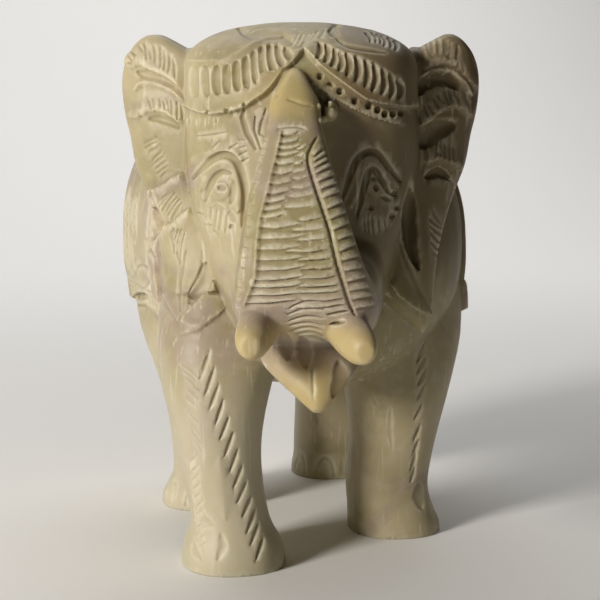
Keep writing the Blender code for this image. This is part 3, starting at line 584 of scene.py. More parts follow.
def rough_block():
    """All forms joined into one skin, with their meetings softened."""
    bm = bmesh.new()
    for add in (add_body, add_legs, add_head, add_ears, add_trunk, add_mouth, add_tail):
        add(bm)
    bmesh.ops.recalc_face_normals(bm, faces=bm.faces)
    mesh = bpy.data.meshes.new("block")
    bm.to_mesh(mesh)
    bm.free()
    blank = linked("blank", mesh)
    remesh = blank.modifiers.new("one skin", "REMESH")
    remesh.mode = "VOXEL"
    remesh.voxel_size = GRAIN
    soften = blank.modifiers.new("soften", "SMOOTH")
    soften.factor = 0.5
    soften.iterations = round(SOFTENING * (0.6 * UNIT / GRAIN) ** 2)
    skin = evaluated(blank)
    bpy.data.objects.remove(blank)
    return skin


class Skin:
    """The stone's skin while it is carved: its points, the way they face, and how far each one moves."""

    def __init__(self, mesh):
        self.mesh = mesh
        self.points = self.read("co") / UNIT
        self.facing = self.read("normal")
        self.rise = np.zeros(len(self.points))
        self.cuts = np.zeros(len(self.points))
        self.chalk = np.zeros(len(self.points))
        turn = np.array(head_placing().inverted())
        self.in_head = self.points @ turn[:3, :3].T + turn[:3, 3]
        self.head_facing = self.facing @ turn[:3, :3].T
        self.pixel, self.turned = self.in_photo()

    def read(self, name):
        values = np.empty(len(self.mesh.vertices) * 3, dtype=np.float32)
        self.mesh.vertices.foreach_get(name, values)
        return values.reshape(-1, 3).astype(float)

    def in_photo(self):
        """Each point's pixel in the photograph, and how squarely it faces the camera there."""
        right, up, ahead = photo_axes()
        away = self.points - np.array(PHOTO_EYE)
        depth = away @ ahead
        across = PHOTO_SIZE / 2 + PHOTO_FOCAL * (away @ right) / depth
        down = PHOTO_SIZE / 2 - PHOTO_FOCAL * (away @ up) / depth
        toward = -(self.facing * away).sum(axis=1) / np.linalg.norm(away, axis=1)
        return np.column_stack([across, down]), toward

    def finish(self):
        """Moves every point out by its rise and in by its deepest cut."""
        moved = self.points + self.facing * (self.rise - self.cuts)[:, None]
        self.mesh.vertices.foreach_set("co", (moved * UNIT).astype(np.float32).ravel())
        self.mesh.update()


class View:
    """Part of the skin seen flat: across and down are its points' places in that picture."""

    def __init__(self, skin, across, down, where):
        self.skin = skin
        self.picked = np.flatnonzero(where)
        self.across = across[self.picked]
        self.down = down[self.picked]
        self.weight = np.ones(len(self.picked))
        self.dust = 0.6
        self.wander = WANDER

    def beside(self, path, reach):
        """For the points near a path: which they are, their gap to it with a sign, and the share along it."""
        path = [np.array(point, dtype=float) for point in path]
        lengths = [max(float(np.linalg.norm(end - start)), 1e-6) for start, end in zip(path, path[1:])]
        corners = np.array(path)
        low, high = corners.min(axis=0) - reach, corners.max(axis=0) + reach
        near = np.flatnonzero((self.across > low[0]) & (self.across < high[0])
                              & (self.down > low[1]) & (self.down < high[1]))
        gap = np.full(len(near), 1e9)
        side = np.ones(len(near))
        share = np.zeros(len(near))
        done = 0.0
        for start, end, length in zip(path, path[1:], lengths):
            run = (end - start) / length
            x = self.across[near] - start[0]
            y = self.down[near] - start[1]
            along = np.clip(x * run[0] + y * run[1], 0, length)
            away = np.hypot(x - run[0] * along, y - run[1] * along)
            closer = away < gap
            gap = np.where(closer, away, gap)
            side = np.where(closer, np.sign(run[0] * y - run[1] * x), side)
            share = np.where(closer, (done + along) / sum(lengths), share)
            done += length
        return near, gap * side, share

    def cut(self, path, half_width, depth, taper=0.5, lean=1.0, hollow=False, chalk=1.0):
        """A groove along the path: lean widens one side of it, and a hollow one is round at its bottom."""
        near, gap, share = self.beside(path, half_width * max(lean, 1.0))
        width = half_width * tapered(share, taper)
        width = np.where(gap > 0, width * lean, width)
        closeness = np.clip(1 - np.abs(gap) / width, 0, 1)
        if hollow:
            closeness = 1 - (1 - closeness) ** 2
        self.sink(near, depth / UNIT * closeness)
        self.whiten(near, np.abs(gap) - width, share, chalk)

    def sink(self, near, depths):
        """Cuts the points of a view at least so deep."""
        picked = self.picked[near]
        self.skin.cuts[picked] = np.maximum(self.skin.cuts[picked], depths)

    def whiten(self, near, away, share, chalk):
        """Chalky stone along an edge, where away is the distance from it."""
        picked = self.picked[near]
        ends = np.clip(np.minimum(share, 1 - share) * CHALK_FADE, 0, chalk)
        amount = np.clip(1 - np.abs(away) / CHALK_REACH, 0, 1) * ends
        amount *= self.dust
        self.skin.chalk[picked] = np.maximum(self.skin.chalk[picked], amount)

    def shingle(self, path, height, reach, depth, width, taper=0.3):
        """A lip drawn from left to right: the stone swells down to it, then drops sharply below it."""
        near, gap, share = self.beside(path, max(reach, width))
        strength = tapered(share, taper)
        above = np.clip(1 + gap / reach, 0, 1) * (gap < 0)
        below = np.clip(np.minimum(gap / (0.25 * width), (width - gap) / (0.75 * width)), 0, 1)
        self.skin.rise[self.picked[near]] += height / UNIT * above * strength * self.weight[near]
        self.sink(near, depth / UNIT * below * strength)
        self.whiten(near, gap + 0.5 * CHALK_REACH, share, 1.0)

    def ridge(self, path, half_width, height, taper=0.2):
        """A sharp ridge along the path."""
        near, gap, share = self.beside(path, half_width)
        width = half_width * tapered(share, taper)
        amount = np.clip(1 - np.abs(gap) / width, 0, 1) * self.weight[near]
        self.skin.rise[self.picked[near]] += height / UNIT * amount

    def step(self, path, height, reach):
        """Raises the stone above an edge drawn from left to right, less and less up to reach."""
        near, gap, share = self.beside(path, reach)
        over = np.clip(1 + gap / reach, 0, 1) * (gap < 0)
        ends = ease(np.minimum(share, 1 - share), 0, 0.15)
        self.skin.rise[self.picked[near]] += height / UNIT * over * ends * self.weight[near]

    def bump(self, centre, radius, height):
        """A round boss, or with a negative height a drilled pit."""
        away = np.hypot(self.across - centre[0], self.down - centre[1]) / radius
        amount = abs(height) / UNIT * np.sqrt(np.clip(1 - away ** 2, 0, 1))
        if height > 0:
            self.skin.rise[self.picked] += amount * self.weight
        else:
            self.skin.cuts[self.picked] = np.maximum(self.skin.cuts[self.picked], amount)

    def fan(self, heads, feet, count, half_width, depth, bow=0.0, taper=0.5, lean=1.0, hollow=False):
        """A row of cuts from one guide line to another, each a little different from the last."""
        for index in range(count):
            share = index / (count - 1) if count > 1 else 0.5
            start, end = point_along(heads, share), point_along(feet, share)
            start = start + HAND.normal(0, self.wander, 2)
            end = end + HAND.normal(0, self.wander, 2)
            run = (end - start) / np.linalg.norm(end - start)
            aside = np.array([run[1], -run[0]])
            path = [start + (end - start) * t + aside * bow * sin(pi * t) for t in CUT_SHARES]
            strength = depth * HAND.uniform(0.85, 1.15)
            self.cut(path, half_width, strength, taper, lean, hollow)


def tapered(share, power):
    """1 in the middle of a path and narrowing to its ends."""
    return np.maximum(np.sin(pi * share), 1e-3) ** power


def ease(value, start, end):
    """0 at start, 1 at end, smooth between."""
    t = np.clip((value - start) / (end - start), 0, 1)
    return t * t * (3 - 2 * t)


def point_along(path, share):
    """The point that lies a share of the way along a path of evenly counted points."""
    place = share * (len(path) - 1)
    index = min(int(place), len(path) - 2)
    start = np.array(path[index], dtype=float)
    end = np.array(path[index + 1], dtype=float)
    return start + (end - start) * (place - index)


def across_at(line, down):
    """Where a line that runs down the picture stands at a given height of it."""
    return float(np.interp(down, [point[1] for point in line], [point[0] for point in line]))


def photo_axes():
    """Right, up and ahead for the photograph's camera."""
    pan, dip = PHOTO_PAN, PHOTO_DIP
    ahead = np.array([sin(pan) * cos(dip), cos(pan) * cos(dip), -sin(dip)])
    right = np.array([cos(pan), -sin(pan), 0.0])
    return right, np.cross(right, ahead), ahead


def photo_view(skin, where):
    """The part of the skin that faces the photograph's camera, in the photograph's pixels."""
    view = View(skin, skin.pixel[:, 0], skin.pixel[:, 1], where & (skin.turned > 0.05))
    view.weight = ease(skin.turned[view.picked], 0.1, 0.5)
    return view


def trunk_skin(skin):
    x, y, z = skin.in_head.T
    return (y < TRUNK_FRONT_Y) & (z > TRUNK_Z[0]) & (z < TRUNK_Z[1])


def tip_skin(skin):
    x, y, z = skin.in_head.T
    return (y < TIP_FRONT_Y) & (z > TIP_START_Z) & (np.abs(x - TIP_MIDDLE_X) < TIP_HALF_WIDTH)


def head_skin(skin):
    x, y, z = skin.in_head.T
    on_face = (y > FACE_Y[0]) & (y < FACE_Y[1]) & (z > FACE_START_Z) & (np.abs(x) < FACE_HALF_WIDTH)
    return on_face & ~tip_skin(skin)


def beyond_cheek(skin, side):
    """How far each point lies outside the line where the cheek meets the ear, in units."""
    x, y, z = skin.in_head.T
    return x * side - CHEEK_X + np.clip((CHEEK_TOP_Z - z) / CHEEK_SLOPE, 0, 8)


def ear_skin(skin, side):
    x, y, z = skin.in_head.T
    ahead_of_flank = y < np.where(z < 80, -16.2, -11)
    return (beyond_cheek(skin, side) > 0) & ahead_of_flank & (y > EAR_FRONT_Y) & (z > EAR_START_Z)


def ear_view(skin, side):
    """The ear in the photograph, with its raised forms fading out toward the cheek and its own rim."""
    view = photo_view(skin, ear_skin(skin, side))
    view.weight = ease(skin.turned[view.picked], 0.2, 0.6)
    view.weight *= ease(beyond_cheek(skin, side)[view.picked], 0, 2.0)
    view.dust = 0.3
    view.wander = 3 * WANDER
    return view


def mouth_skin(skin):
    x, y, z = skin.in_head.T
    return (y < MOUTH_FRONT_Y) & (z > MOUTH_Z[0]) & (z < MOUTH_Z[1])


def carve_head_forms(skin):
    """The large steps of the head: the cap's rim, the brows, the bosses and the overlapping ear lobes."""
    head = photo_view(skin, head_skin(skin))
    head.step(DOT_BAND_EDGE, CAP_RISE * 0.7, 17)
    head.ridge(CAP_RIM_LEFT, 2.4, RIM_RISE)
    head.ridge(CAP_RIM_RIGHT, 2.6, RIM_RISE)
    head.ridge(CAP_LEDGE, 3, RIM_RISE)
    head.cut(CREST_VALLEY, 6, CREST_DEPTH, taper=0.6, hollow=True)
    head.cut(CREST_DENT_RIGHT, 5, CREST_DEPTH, hollow=True)
    for line in BROW_RIDGES:
        head.ridge(between_stations(line, 4), 7, BROW_RISE)
    for centre, radius, height in HEAD_BOSSES:
        head.bump(centre, radius, height)
    for side, edges, roll, hollows in (
        (-1, LEFT_LOBE_EDGES, LEFT_LOBE_ROLL, LEFT_EAR_HOLLOWS),
        (1, RIGHT_LOBE_EDGES, RIGHT_LOBE_ROLL, RIGHT_EAR_HOLLOWS),
    ):
        ear = ear_view(skin, side)
        for edge, height, reach in edges:
            ear.step(edge, height, reach)
        ear.ridge(roll, 5, ROLL_RISE)
        if side < 0:
            ear.bump(LEFT_CURL, 7, ROLL_RISE)
        for path, half_width, depth in hollows:
            ear.cut(path, half_width, depth, hollow=True)


def carve_trunk_forms(skin):
    """The trunk's ridged face between two rails, and the facet and crease of its tip."""
    trunk = photo_view(skin, trunk_skin(skin))
    trunk.ridge(LEFT_ARRIS, 4.5, ARRIS_RISE)
    trunk.cut(between_stations(RIGHT_GROOVE, 3), 2.8, RAIL_GROOVE_DEPTH * 0.85, taper=0.2, chalk=0.0)
    tip = photo_view(skin, tip_skin(skin))
    tip.cut(TIP_CREASE, 2.6, STROKE_DEPTH * 0.6, taper=0.4)
    tip.cut(TIP_DIMPLE, 4, STROKE_DEPTH * 0.5, hollow=True)


def pinch_tip(skin):
    """Draws the top of the trunk's tip together, to a blunt point."""
    x, y, z = skin.in_head.T
    share = TIP_PINCH * ease(z, 83, 90) * ease(y, -36.5, -39)
    share *= np.abs(x - TIP_MIDDLE_X) < 6
    across = np.array(head_placing().to_3x3() @ Vector((1, 0, 0)))
    skin.points -= (share * (x - TIP_MIDDLE_X))[:, None] * across


def lip_path(left, right, down, climb):
    """A lip across the trunk: it sags a little, then climbs at its right end."""
    sag = HAND.uniform(0.2, 1.2)
    path = []
    for share in CUT_SHARES:
        wave = sag * sin(pi * share) - climb * share ** 2 + HAND.normal(0, 0.3)
        path.append((left + (right - left) * share, down + wave))
    return path


def carve_trunk(skin):
    """Two series of lips like shingles that meet down the trunk's middle, and nicks on both rails."""
    trunk = photo_view(skin, trunk_skin(skin) & (skin.head_facing[:, 1] < 0.2))
    trunk.dust = 1.0
    for down, end in LEFT_LIPS:
        path = lip_path(across_at(LEFT_ARRIS, down) + 1.5, end, down, HAND.uniform(2.0, 4.5))
        trunk.shingle(path, LIP_RISE, 6, TRUNK_GROOVE_DEPTH * HAND.uniform(0.85, 1.2), 3.6)
    for index, (down, start) in enumerate(RIGHT_LIPS):
        path = lip_path(start - 3, across_at(RIGHT_GROOVE, down) - 4.5, down + 2, HAND.uniform(2.0, 4.0))
        strength = 0.55 if index < FINE_RIGHT_LIPS else HAND.uniform(0.9, 1.3)
        trunk.shingle(path, LIP_RISE * strength, 5, TRUNK_GROOVE_DEPTH * strength, 3.2)
    trunk.dust = 0.35
    trunk.fan(LEFT_RAIL_OUTER, LEFT_RAIL_INNER, 18, 1.3, STROKE_DEPTH * 0.4, taper=0.5)
    trunk.dust = 0.8
    for nick in range(RAIL_NICKS):
        share = nick / (RAIL_NICKS - 1)
        start = point_along(RIGHT_RAIL_INNER, share) + HAND.normal(0, WANDER, 2)
        end = point_along(RIGHT_RAIL_OUTER, share) + HAND.normal(0, WANDER, 2)
        depth = TRUNK_GROOVE_DEPTH * HAND.uniform(0.5, 0.9)
        trunk.shingle([start, end], LIP_RISE * 2, 5.5, depth, 4.5)
    trunk.cut(FACE_START, 1.8, STROKE_DEPTH * 0.7, taper=0.3)


def carve_cap(skin):
    """Flutes, crescents, drilled dots and leaf strokes over the cap and the forehead."""
    head = photo_view(skin, head_skin(skin))
    x, y, z = skin.in_head.T
    knob = photo_view(skin, (y > KNOB_FRONT_Y) & (z > KNOB_START_Z) & (x > KNOB_X[0]) & (x < KNOB_X[1]))
    for centre, radius in KNOB_PETALS:
        knob.bump(centre, radius, PETAL_RISE)
    for heads, feet, half_width, bow, taper in (
        (LEFT_FLUTE_HEADS, LEFT_FLUTE_FEET, 5.4, -1.5, 0.25),
        (RIGHT_FLUTE_HEADS, RIGHT_FLUTE_FEET, 4.4, 3.6, 0.4),
    ):
        head.fan(heads, feet, FLUTES, half_width, FLUTE_DEPTH, bow=bow, taper=taper, hollow=True)
    head.fan(CROWN_LEAF_HEADS, CROWN_LEAF_FEET, 6, 2.6, STROKE_DEPTH * 0.6, bow=3.0)
    head.fan(CREST_RAY_HEADS, CREST_RAY_FEET, 7, 2.2, STROKE_DEPTH * 0.3)
    head.cut(CROWN_LEAF_EDGE, 2.8, STROKE_DEPTH * 0.7, taper=0.4)
    for dot in DRILLED_DOTS:
        head.bump(dot, 3.6, -DOT_DEPTH)
    for nick in RIM_NICKS:
        head.bump(nick, 2.4, -STROKE_DEPTH)
    for path, half_width, share in FOREHEAD_CUTS:
        head.cut(path, half_width, STROKE_DEPTH * share, taper=0.35, hollow=half_width > 3)
    for heads, feet, count in FOREHEAD_FANS:
        head.fan(heads, feet, count, 1.7, STROKE_DEPTH * 0.55)


def carve_face(skin):
    """Two arched lines round each eye, its pupil, and short strokes and dots on the cheeks."""
    head = photo_view(skin, head_skin(skin))
    for path, half_width, share in EYE_CUTS:
        head.cut(between_stations(path, 4), half_width * 1.15, EYE_DEPTH * share, taper=0.3, hollow=True)
    for heads, feet, count in CHEEK_FANS:
        head.fan(heads, feet, count, 2.1, STROKE_DEPTH * 0.55)
    for dot in CHEEK_DOTS:
        head.bump(dot, 2.7, -STROKE_DEPTH)
    for path in CHEEK_LINES:
        head.ridge(path, 1.8, STROKE_DEPTH * 0.4)


def carve_ears(skin):
    """Fans of short strokes on every lobe, and the long lines of the hanging leaves."""
    for side, fans, lines in ((-1, LEFT_EAR_FANS, LEFT_EAR_LINES), (1, RIGHT_EAR_FANS, RIGHT_EAR_LINES)):
        ear = ear_view(skin, side)
        for heads, feet, count, half_width, bow in fans:
            ear.fan(heads, feet, count, half_width * 1.15, STROKE_DEPTH * 0.6, bow=bow, taper=0.6)
        for path, half_width in lines:
            ear.cut(between_stations(path, 3), half_width, STROKE_DEPTH * 0.5, taper=0.5, lean=2.0)


def carve_mouth(skin):
    """The palate's fine arcs, the open mouth behind the lip, and the lip's groove."""
    mouth = photo_view(skin, mouth_skin(skin))
    mouth.fan(PALATE_LEFT, PALATE_RIGHT, PALATE_ARCS, 1.7, STROKE_DEPTH, bow=3.5, taper=0.3)
    for path, half_width, depth in MOUTH_CUTS:
        mouth.cut(path, half_width, depth, taper=0.5, hollow=half_width > 3)


def carve_flank(skin):
    """A scroll, a boss and the hem's first cells where the body shows beside the left ear."""
    x, y, z = skin.points.T
    flank = photo_view(skin, (x < -21) & (y > -26) & (z > 40))
    for path, half_width, depth in FLANK_CUTS:
        flank.cut(path, half_width, depth, taper=0.4, hollow=True)
    circle = []
    for step in range(BOSS_STEPS + 1):
        angle = 2 * pi * step / BOSS_STEPS
        across = BOSS_CENTRE[0] + BOSS_HALF_SIZE[0] * cos(angle)
        circle.append((across, BOSS_CENTRE[1] + BOSS_HALF_SIZE[1] * sin(angle)))
    flank.cut(circle, 2.2, STROKE_DEPTH, taper=0.0)


def carve_legs(skin):
    """Slanting notches down both front legs, faint chevrons beside them, and scooped toenails."""
    x, y, z = skin.points.T
    ahead = (y < -5) & (z < 46)
    left = photo_view(skin, ahead & (x < 0) & (y < -17))
    depth = LEG_NOTCH_DEPTH * 0.85
    left.fan(LEFT_NOTCH_HEADS, LEFT_NOTCH_FEET, LEFT_NOTCHES, 3.7, depth, taper=0.75, lean=0.6)
    for heads, feet, count in LEFT_LEG_FANS:
        left.fan(heads, feet, count, 1.9, STROKE_DEPTH * 0.35)
    left.ridge(LEFT_LEG_RIDGE, 14, STROKE_DEPTH * 0.4, taper=1.0)
    right = photo_view(skin, ahead & (x > 0))
    depth = LEG_NOTCH_DEPTH * 0.7
    right.fan(RIGHT_NOTCH_HEADS, RIGHT_NOTCH_FEET, RIGHT_NOTCHES, 3.4, depth, taper=0.75, lean=0.6)
    for path in RIGHT_LEG_LINES:
        right.cut(path, 3.0, STROKE_DEPTH * 0.3)
    for view, scoops in ((left, LEFT_SCOOPS), (right, RIGHT_SCOOPS)):
        for path, half_width in scoops:
            view.cut(path, half_width, STROKE_DEPTH * 0.6, hollow=True)
    for stations in (HIND_LEFT, HIND_RIGHT):
        centre_x, centre_y, half_width = stations[1][1:4]
        angle = np.arctan2(x - centre_x, centre_y - y)
        on_foot = (np.hypot(x - centre_x, y - centre_y) < FOOT_REACH) & (z < FOOT_TOP_Z)
        around = View(skin, angle * half_width, z, on_foot)
        for nail in range(TOE_NAILS):
            middle = half_width * radians(-NAIL_SPREAD + 2 * NAIL_SPREAD * nail / (TOE_NAILS - 1))
            arch = []
            for step in range(ARCH_STEPS + 1):
                bend = pi * step / ARCH_STEPS
                arch.append((middle + 2.2 * cos(bend), 1.0 + 4.2 * sin(bend)))
            around.cut(arch, 0.7, STROKE_DEPTH * 0.7, taper=0.2)


def cloth_skin(skin):
    """The part of the body that the cloth and its edge can lie on, clear of the head."""
    x, y, z = skin.points.T
    front, back, low = CLOTH_FRONT_Y - CLOTH_MARGIN, CLOTH_BACK_Y + CLOTH_MARGIN, HEM_Z - CLOTH_MARGIN
    on_body = (y > front) & (y < back) & (z > low)
    return on_body & (np.hypot(skin.in_head[:, 0], skin.in_head[:, 1] - HEAD_MIDDLE_Y) > HEAD_CLEARANCE)


def carve_cloth(skin):
    """A saddle cloth over the back, with a bordered hem and a row of leaves on each flank."""
    x, y, z = skin.points.T
    for side in (-1, 1):
        view = View(skin, y, z, cloth_skin(skin) & (x * side > 0))
        near, far = CLOTH_FRONT_Y + CLOTH_BORDER, CLOTH_BACK_Y - CLOTH_BORDER
        hem = HEM_Z + CLOTH_BORDER
        view.cut([(near, 92), (near, hem), (far, hem), (far, 92)], 0.6, STROKE_DEPTH, taper=0.1)
        for cell in range(HEM_CELLS):
            along = CLOTH_FRONT_Y + 1.5 + (CLOTH_BACK_Y - CLOTH_FRONT_Y - 3) * cell / (HEM_CELLS - 1)
            view.cut([(along, HEM_Z + 0.8), (along, hem - 0.9)], 0.75, STROKE_DEPTH)
        for leaf in range(1 if side < 0 else 0, CLOTH_LEAVES):
            middle = near + (far - near) * (leaf + 0.5) / CLOTH_LEAVES
            half = (far - near) / CLOTH_LEAVES * 0.4
            for bow in (-1, 1):
                outline = []
                for step in range(ARCH_STEPS + 1):
                    t = step / ARCH_STEPS
                    outline.append((middle + bow * half * sin(pi * t), hem + 2 + LEAF_HEIGHT * t))
                view.cut(outline, 0.6, STROKE_DEPTH, taper=0.15)
            for vein in range(LEAF_VEINS):
                up = hem + 4.5 + 2.2 * vein
                reach = half * 0.75 * sin(pi * (up - hem - 2) / LEAF_HEIGHT)
                for bow in (1, -1):
                    path = [(middle + bow * 0.4, up - 1), (middle + bow * reach, up + 0.8)]
                    view.cut(path, 0.45, STROKE_DEPTH * 0.8)


def raise_cap(skin):
    """The cap stands proud of the forehead, above a rim that peaks over the trunk's tip."""
    x, y, z = skin.in_head.T
    rim = CAP_RIM_LEFT + CAP_RIM_RIGHT
    edge = np.interp(skin.pixel[:, 0], [point[0] for point in rim], [point[1] for point in rim])
    above = ease(edge - skin.pixel[:, 1], -1.2, 1.2)
    on_cap = (z > 76) & ~trunk_skin(skin) & ~tip_skin(skin)
    fading = ease(y, -7, -12) * ease(np.abs(x), 21.8, 20.4)
    skin.rise += np.where(on_cap, CAP_RISE / UNIT * above * fading, 0)


def raise_cloth(skin):
    """The saddle cloth stands proud of the body, most at its hem."""
    x, y, z = skin.points.T
    inside = np.minimum(np.minimum(y - CLOTH_FRONT_Y, CLOTH_BACK_Y - y), z - HEM_Z)
    drop = 1 + (HEM_RISE / CLOTH_RISE - 1) * ease(z, 62, HEM_Z)
    drop *= ease(skin.facing[:, 1], -0.85, -0.5)
    rise = CLOTH_RISE / UNIT * drop * ease(inside, -0.35, 0.35)
    skin.rise += np.where(cloth_skin(skin), rise, 0)


def refine(mesh):
    """Halves the mesh's edges where the photograph shows the head, for the finest strokes."""
    skin = Skin(mesh)
    x, y, z = skin.in_head.T
    fine = (y < FINE_FRONT_Y) & (z > FINE_START_Z) & (np.abs(x) < FINE_HALF_WIDTH) & (skin.turned > 0.1)
    bm = bmesh.new()
    bm.from_mesh(mesh)
    edges = [edge for edge in bm.edges if fine[edge.verts[0].index] and fine[edge.verts[1].index]]
    bmesh.ops.subdivide_edges(bm, edges=edges, cuts=1, use_grid_fill=True)
    bm.to_mesh(mesh)
    bm.free()


def carve(mesh):
    """Carves the large forms, then the strokes over them; returns each point's cut depth and chalkiness."""
    skin = Skin(mesh)
    for work in (raise_cap, carve_head_forms, carve_trunk_forms, raise_cloth, pinch_tip):
        work(skin)
    skin.finish()
    refine(mesh)
    skin = Skin(mesh)
    for work in (carve_trunk, carve_cap, carve_face, carve_ears, carve_mouth,
                 carve_flank, carve_legs, carve_cloth):
        work(skin)
    skin.finish()
    return skin.cuts, skin.chalk


def thinned(skin):
    """The carved skin with its spare triangles taken out."""
    blank = linked("blank", skin)
    decimate = blank.modifiers.new("facets", "DECIMATE")
    decimate.ratio = min(1.0, TRIANGLES / (2.0 * len(skin.polygons)))
    result = evaluated(blank)
    bpy.data.objects.remove(blank)
    return result


def flat_soles(mesh):
    """Cuts the feet level at z = 0 and closes them."""
    bm = bmesh.new()
    bm.from_mesh(mesh)
    everything = bm.verts[:] + bm.edges[:] + bm.faces[:]
    cut = bmesh.ops.bisect_plane(
        bm, geom=everything, plane_co=(0, 0, 0), plane_no=(0, 0, -1), clear_outer=True)
    rim = [item for item in cut["geom_cut"] if isinstance(item, bmesh.types.BMEdge)]
    bmesh.ops.holes_fill(bm, edges=rim, sides=0)
    bmesh.ops.remove_doubles(bm, verts=bm.verts, dist=WELD)
    bmesh.ops.triangulate(bm, faces=bm.faces)
    loose = [face for face in bm.faces if all(len(edge.link_faces) == 1 for edge in face.edges)]
    bmesh.ops.delete(bm, geom=loose, context="FACES")
    bm.to_mesh(mesh)
    bm.free()


def place_in_frame(mesh):
    """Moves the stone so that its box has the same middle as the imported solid's."""
    corners = np.array([vertex.co for vertex in mesh.vertices])
    middle = (corners.min(axis=0) + corners.max(axis=0)) / 2
    across, along = [(LOW[axis] + HIGH[axis]) / 2 - middle[axis] for axis in (0, 1)]
    mesh.transform(Matrix.Translation((across, along, 0)))


def fill(node, values):
    """Sets a node's inputs by their names."""
    for name, value in values.items():
        node.inputs[name].default_value = value


class Nodes:
    """Short calls for building a material's nodes."""

    def __init__(self, name):
        self.material = bpy.data.materials.new(name)
        self.material.use_nodes = True
        self.tree = self.material.node_tree
        self.shader = self.tree.nodes["Principled BSDF"]

    def add(self, kind, **settings):
        node = self.tree.nodes.new(kind)
        for key, value in settings.items():
            setattr(node, key, value)
        return node

    def join(self, source, target):
        self.tree.links.new(source, target)

    def noise(self, where, scale, detail=4.0, distortion=0.0):
        node = self.add("ShaderNodeTexNoise")
        fill(node, {"Scale": scale, "Detail": detail, "Distortion": distortion})
        self.join(where, node.inputs["Vector"])
        return node.outputs["Fac"]

    def ramp(self, value, low, high):
        node = self.add("ShaderNodeMapRange", interpolation_type="SMOOTHSTEP")
        fill(node, {"From Min": low, "From Max": high})
        self.join(value, node.inputs["Value"])
        return node.outputs["Result"]

    def mix(self, factor, first, second):
        """Second over first by factor; each is a colour or a socket."""
        node = self.add("ShaderNodeMix", data_type="RGBA")
        self.join(factor, node.inputs["Factor"])
        for colour, socket in ((first, node.inputs["A"]), (second, node.inputs["B"])):
            if isinstance(colour, tuple):
                socket.default_value = (*colour, 1.0)
            else:
                self.join(colour, socket)
        return node.outputs["Result"]

    def over(self, colour, factor, share, paint):
        """Paint over a colour, by a share of the factor."""
        return self.mix(self.maths("MULTIPLY", factor, share), colour, paint)

    def maths(self, operation, first, second):
        node = self.add("ShaderNodeMath", operation=operation)
        for value, socket in ((first, node.inputs[0]), (second, node.inputs[1])):
            if isinstance(value, float):
                socket.default_value = value
            else:
                self.join(value, socket)
        return node.outputs["Value"]

    def scratches(self, where, turn):
        """Thin straight marks in one direction, here and there."""
        mapping = self.add("ShaderNodeMapping")
        fill(mapping, {"Rotation": turn, "Scale": SCRATCH_STRETCH})
        self.join(where, mapping.inputs["Vector"])
        lines = self.ramp(self.noise(mapping.outputs["Vector"], SCRATCH_SCALE, 2.0), 0.62, 0.72)
        patches = self.ramp(self.noise(where, STREAK_PATCH_SCALE, 2.0), 0.45, 0.6)
        return self.maths("MULTIPLY", lines, patches)

    def attribute(self, name):
        return self.add("ShaderNodeAttribute", attribute_name=name).outputs["Fac"]


def soapstone():
    """Cloudy olive and pink-grey soapstone, paler and duller where it was cut, with painted light, a painted
    shadow and painted shade in its hollows.
    """
    n = Nodes("soapstone")
    where = n.add("ShaderNodeTexCoord").outputs["Object"]
    point = n.add("ShaderNodeNewGeometry").outputs["Pointiness"]
    clouds = n.ramp(n.noise(where, CLOUD_SCALE, 3.0, 0.6), 0.38, 0.62)
    blush = n.ramp(n.noise(where, BLUSH_SCALE, 4.0, 1.2), 0.52, 0.68)
    speckle = n.ramp(n.noise(where, SPECKLE_SCALE, 3.0), 0.45, 0.7)
    colour = n.mix(clouds, OLIVE, BEIGE)
    colour = n.over(colour, blush, 0.7, MAUVE)
    colour = n.over(colour, n.attribute("blush"), 0.75, MAUVE)
    colour = n.over(colour, speckle, 0.18, PALE_FLECKS_AND_PAINTED_LIGHT)
    # Painted light on the lower left legs and a painted brown shadow right of the trunk, mixed in with the
    # honey of the tusks, tip and lip
    for name, paint in (("painted_light", PALE_FLECKS_AND_PAINTED_LIGHT), ("honey", HONEY), ("painted_shadow", PAINTED_SHADOW_UMBER)):
        colour = n.mix(n.attribute(name), colour, paint)
    dust = n.ramp(n.noise(where, CHALK_SCALE, 3.0), 0.3, 0.52)
    streaks = n.maths("MAXIMUM", *[n.scratches(where, turn) for turn in SCRATCH_TURNS])
    colour = n.over(colour, n.maths("MULTIPLY", n.attribute("chalk"), dust), 0.8, CHALK)
    colour = n.over(colour, n.ramp(point, 0.51, 0.57), 0.45, CHALK)
    colour = n.over(colour, n.ramp(point, 0.495, 0.43), 0.35, SHADE)
    colour = n.over(colour, streaks, 0.4, CHALK)
    n.join(colour, n.shader.inputs["Base Color"])
    scratches = n.noise(where, SCRATCH_SCALE, 2.0, 0.4)
    rough = n.add("ShaderNodeMapRange")
    fill(rough, {"To Min": ROUGHNESS[0], "To Max": ROUGHNESS[1]})
    n.join(n.maths("ADD", n.maths("MULTIPLY", scratches, 0.4), n.attribute("worked")), rough.inputs["Value"])
    n.join(rough.outputs["Result"], n.shader.inputs["Roughness"])
    bump = n.add("ShaderNodeBump")
    fill(bump, {"Strength": 0.35, "Distance": BUMP_HEIGHT})
    dents = n.noise(where, DENT_SCALE, 4.0, 0.8)
    n.join(n.maths("ADD", dents, n.maths("MULTIPLY", scratches, 0.35)), bump.inputs["Height"])
    n.join(bump.outputs["Normal"], n.shader.inputs["Normal"])
    fill(n.shader, {"Subsurface Weight": 0.4, "Subsurface Radius": SCATTER_TINT,
                    "Subsurface Scale": SCATTER_DEPTH, "Specular IOR Level": 0.38})
    return n.material


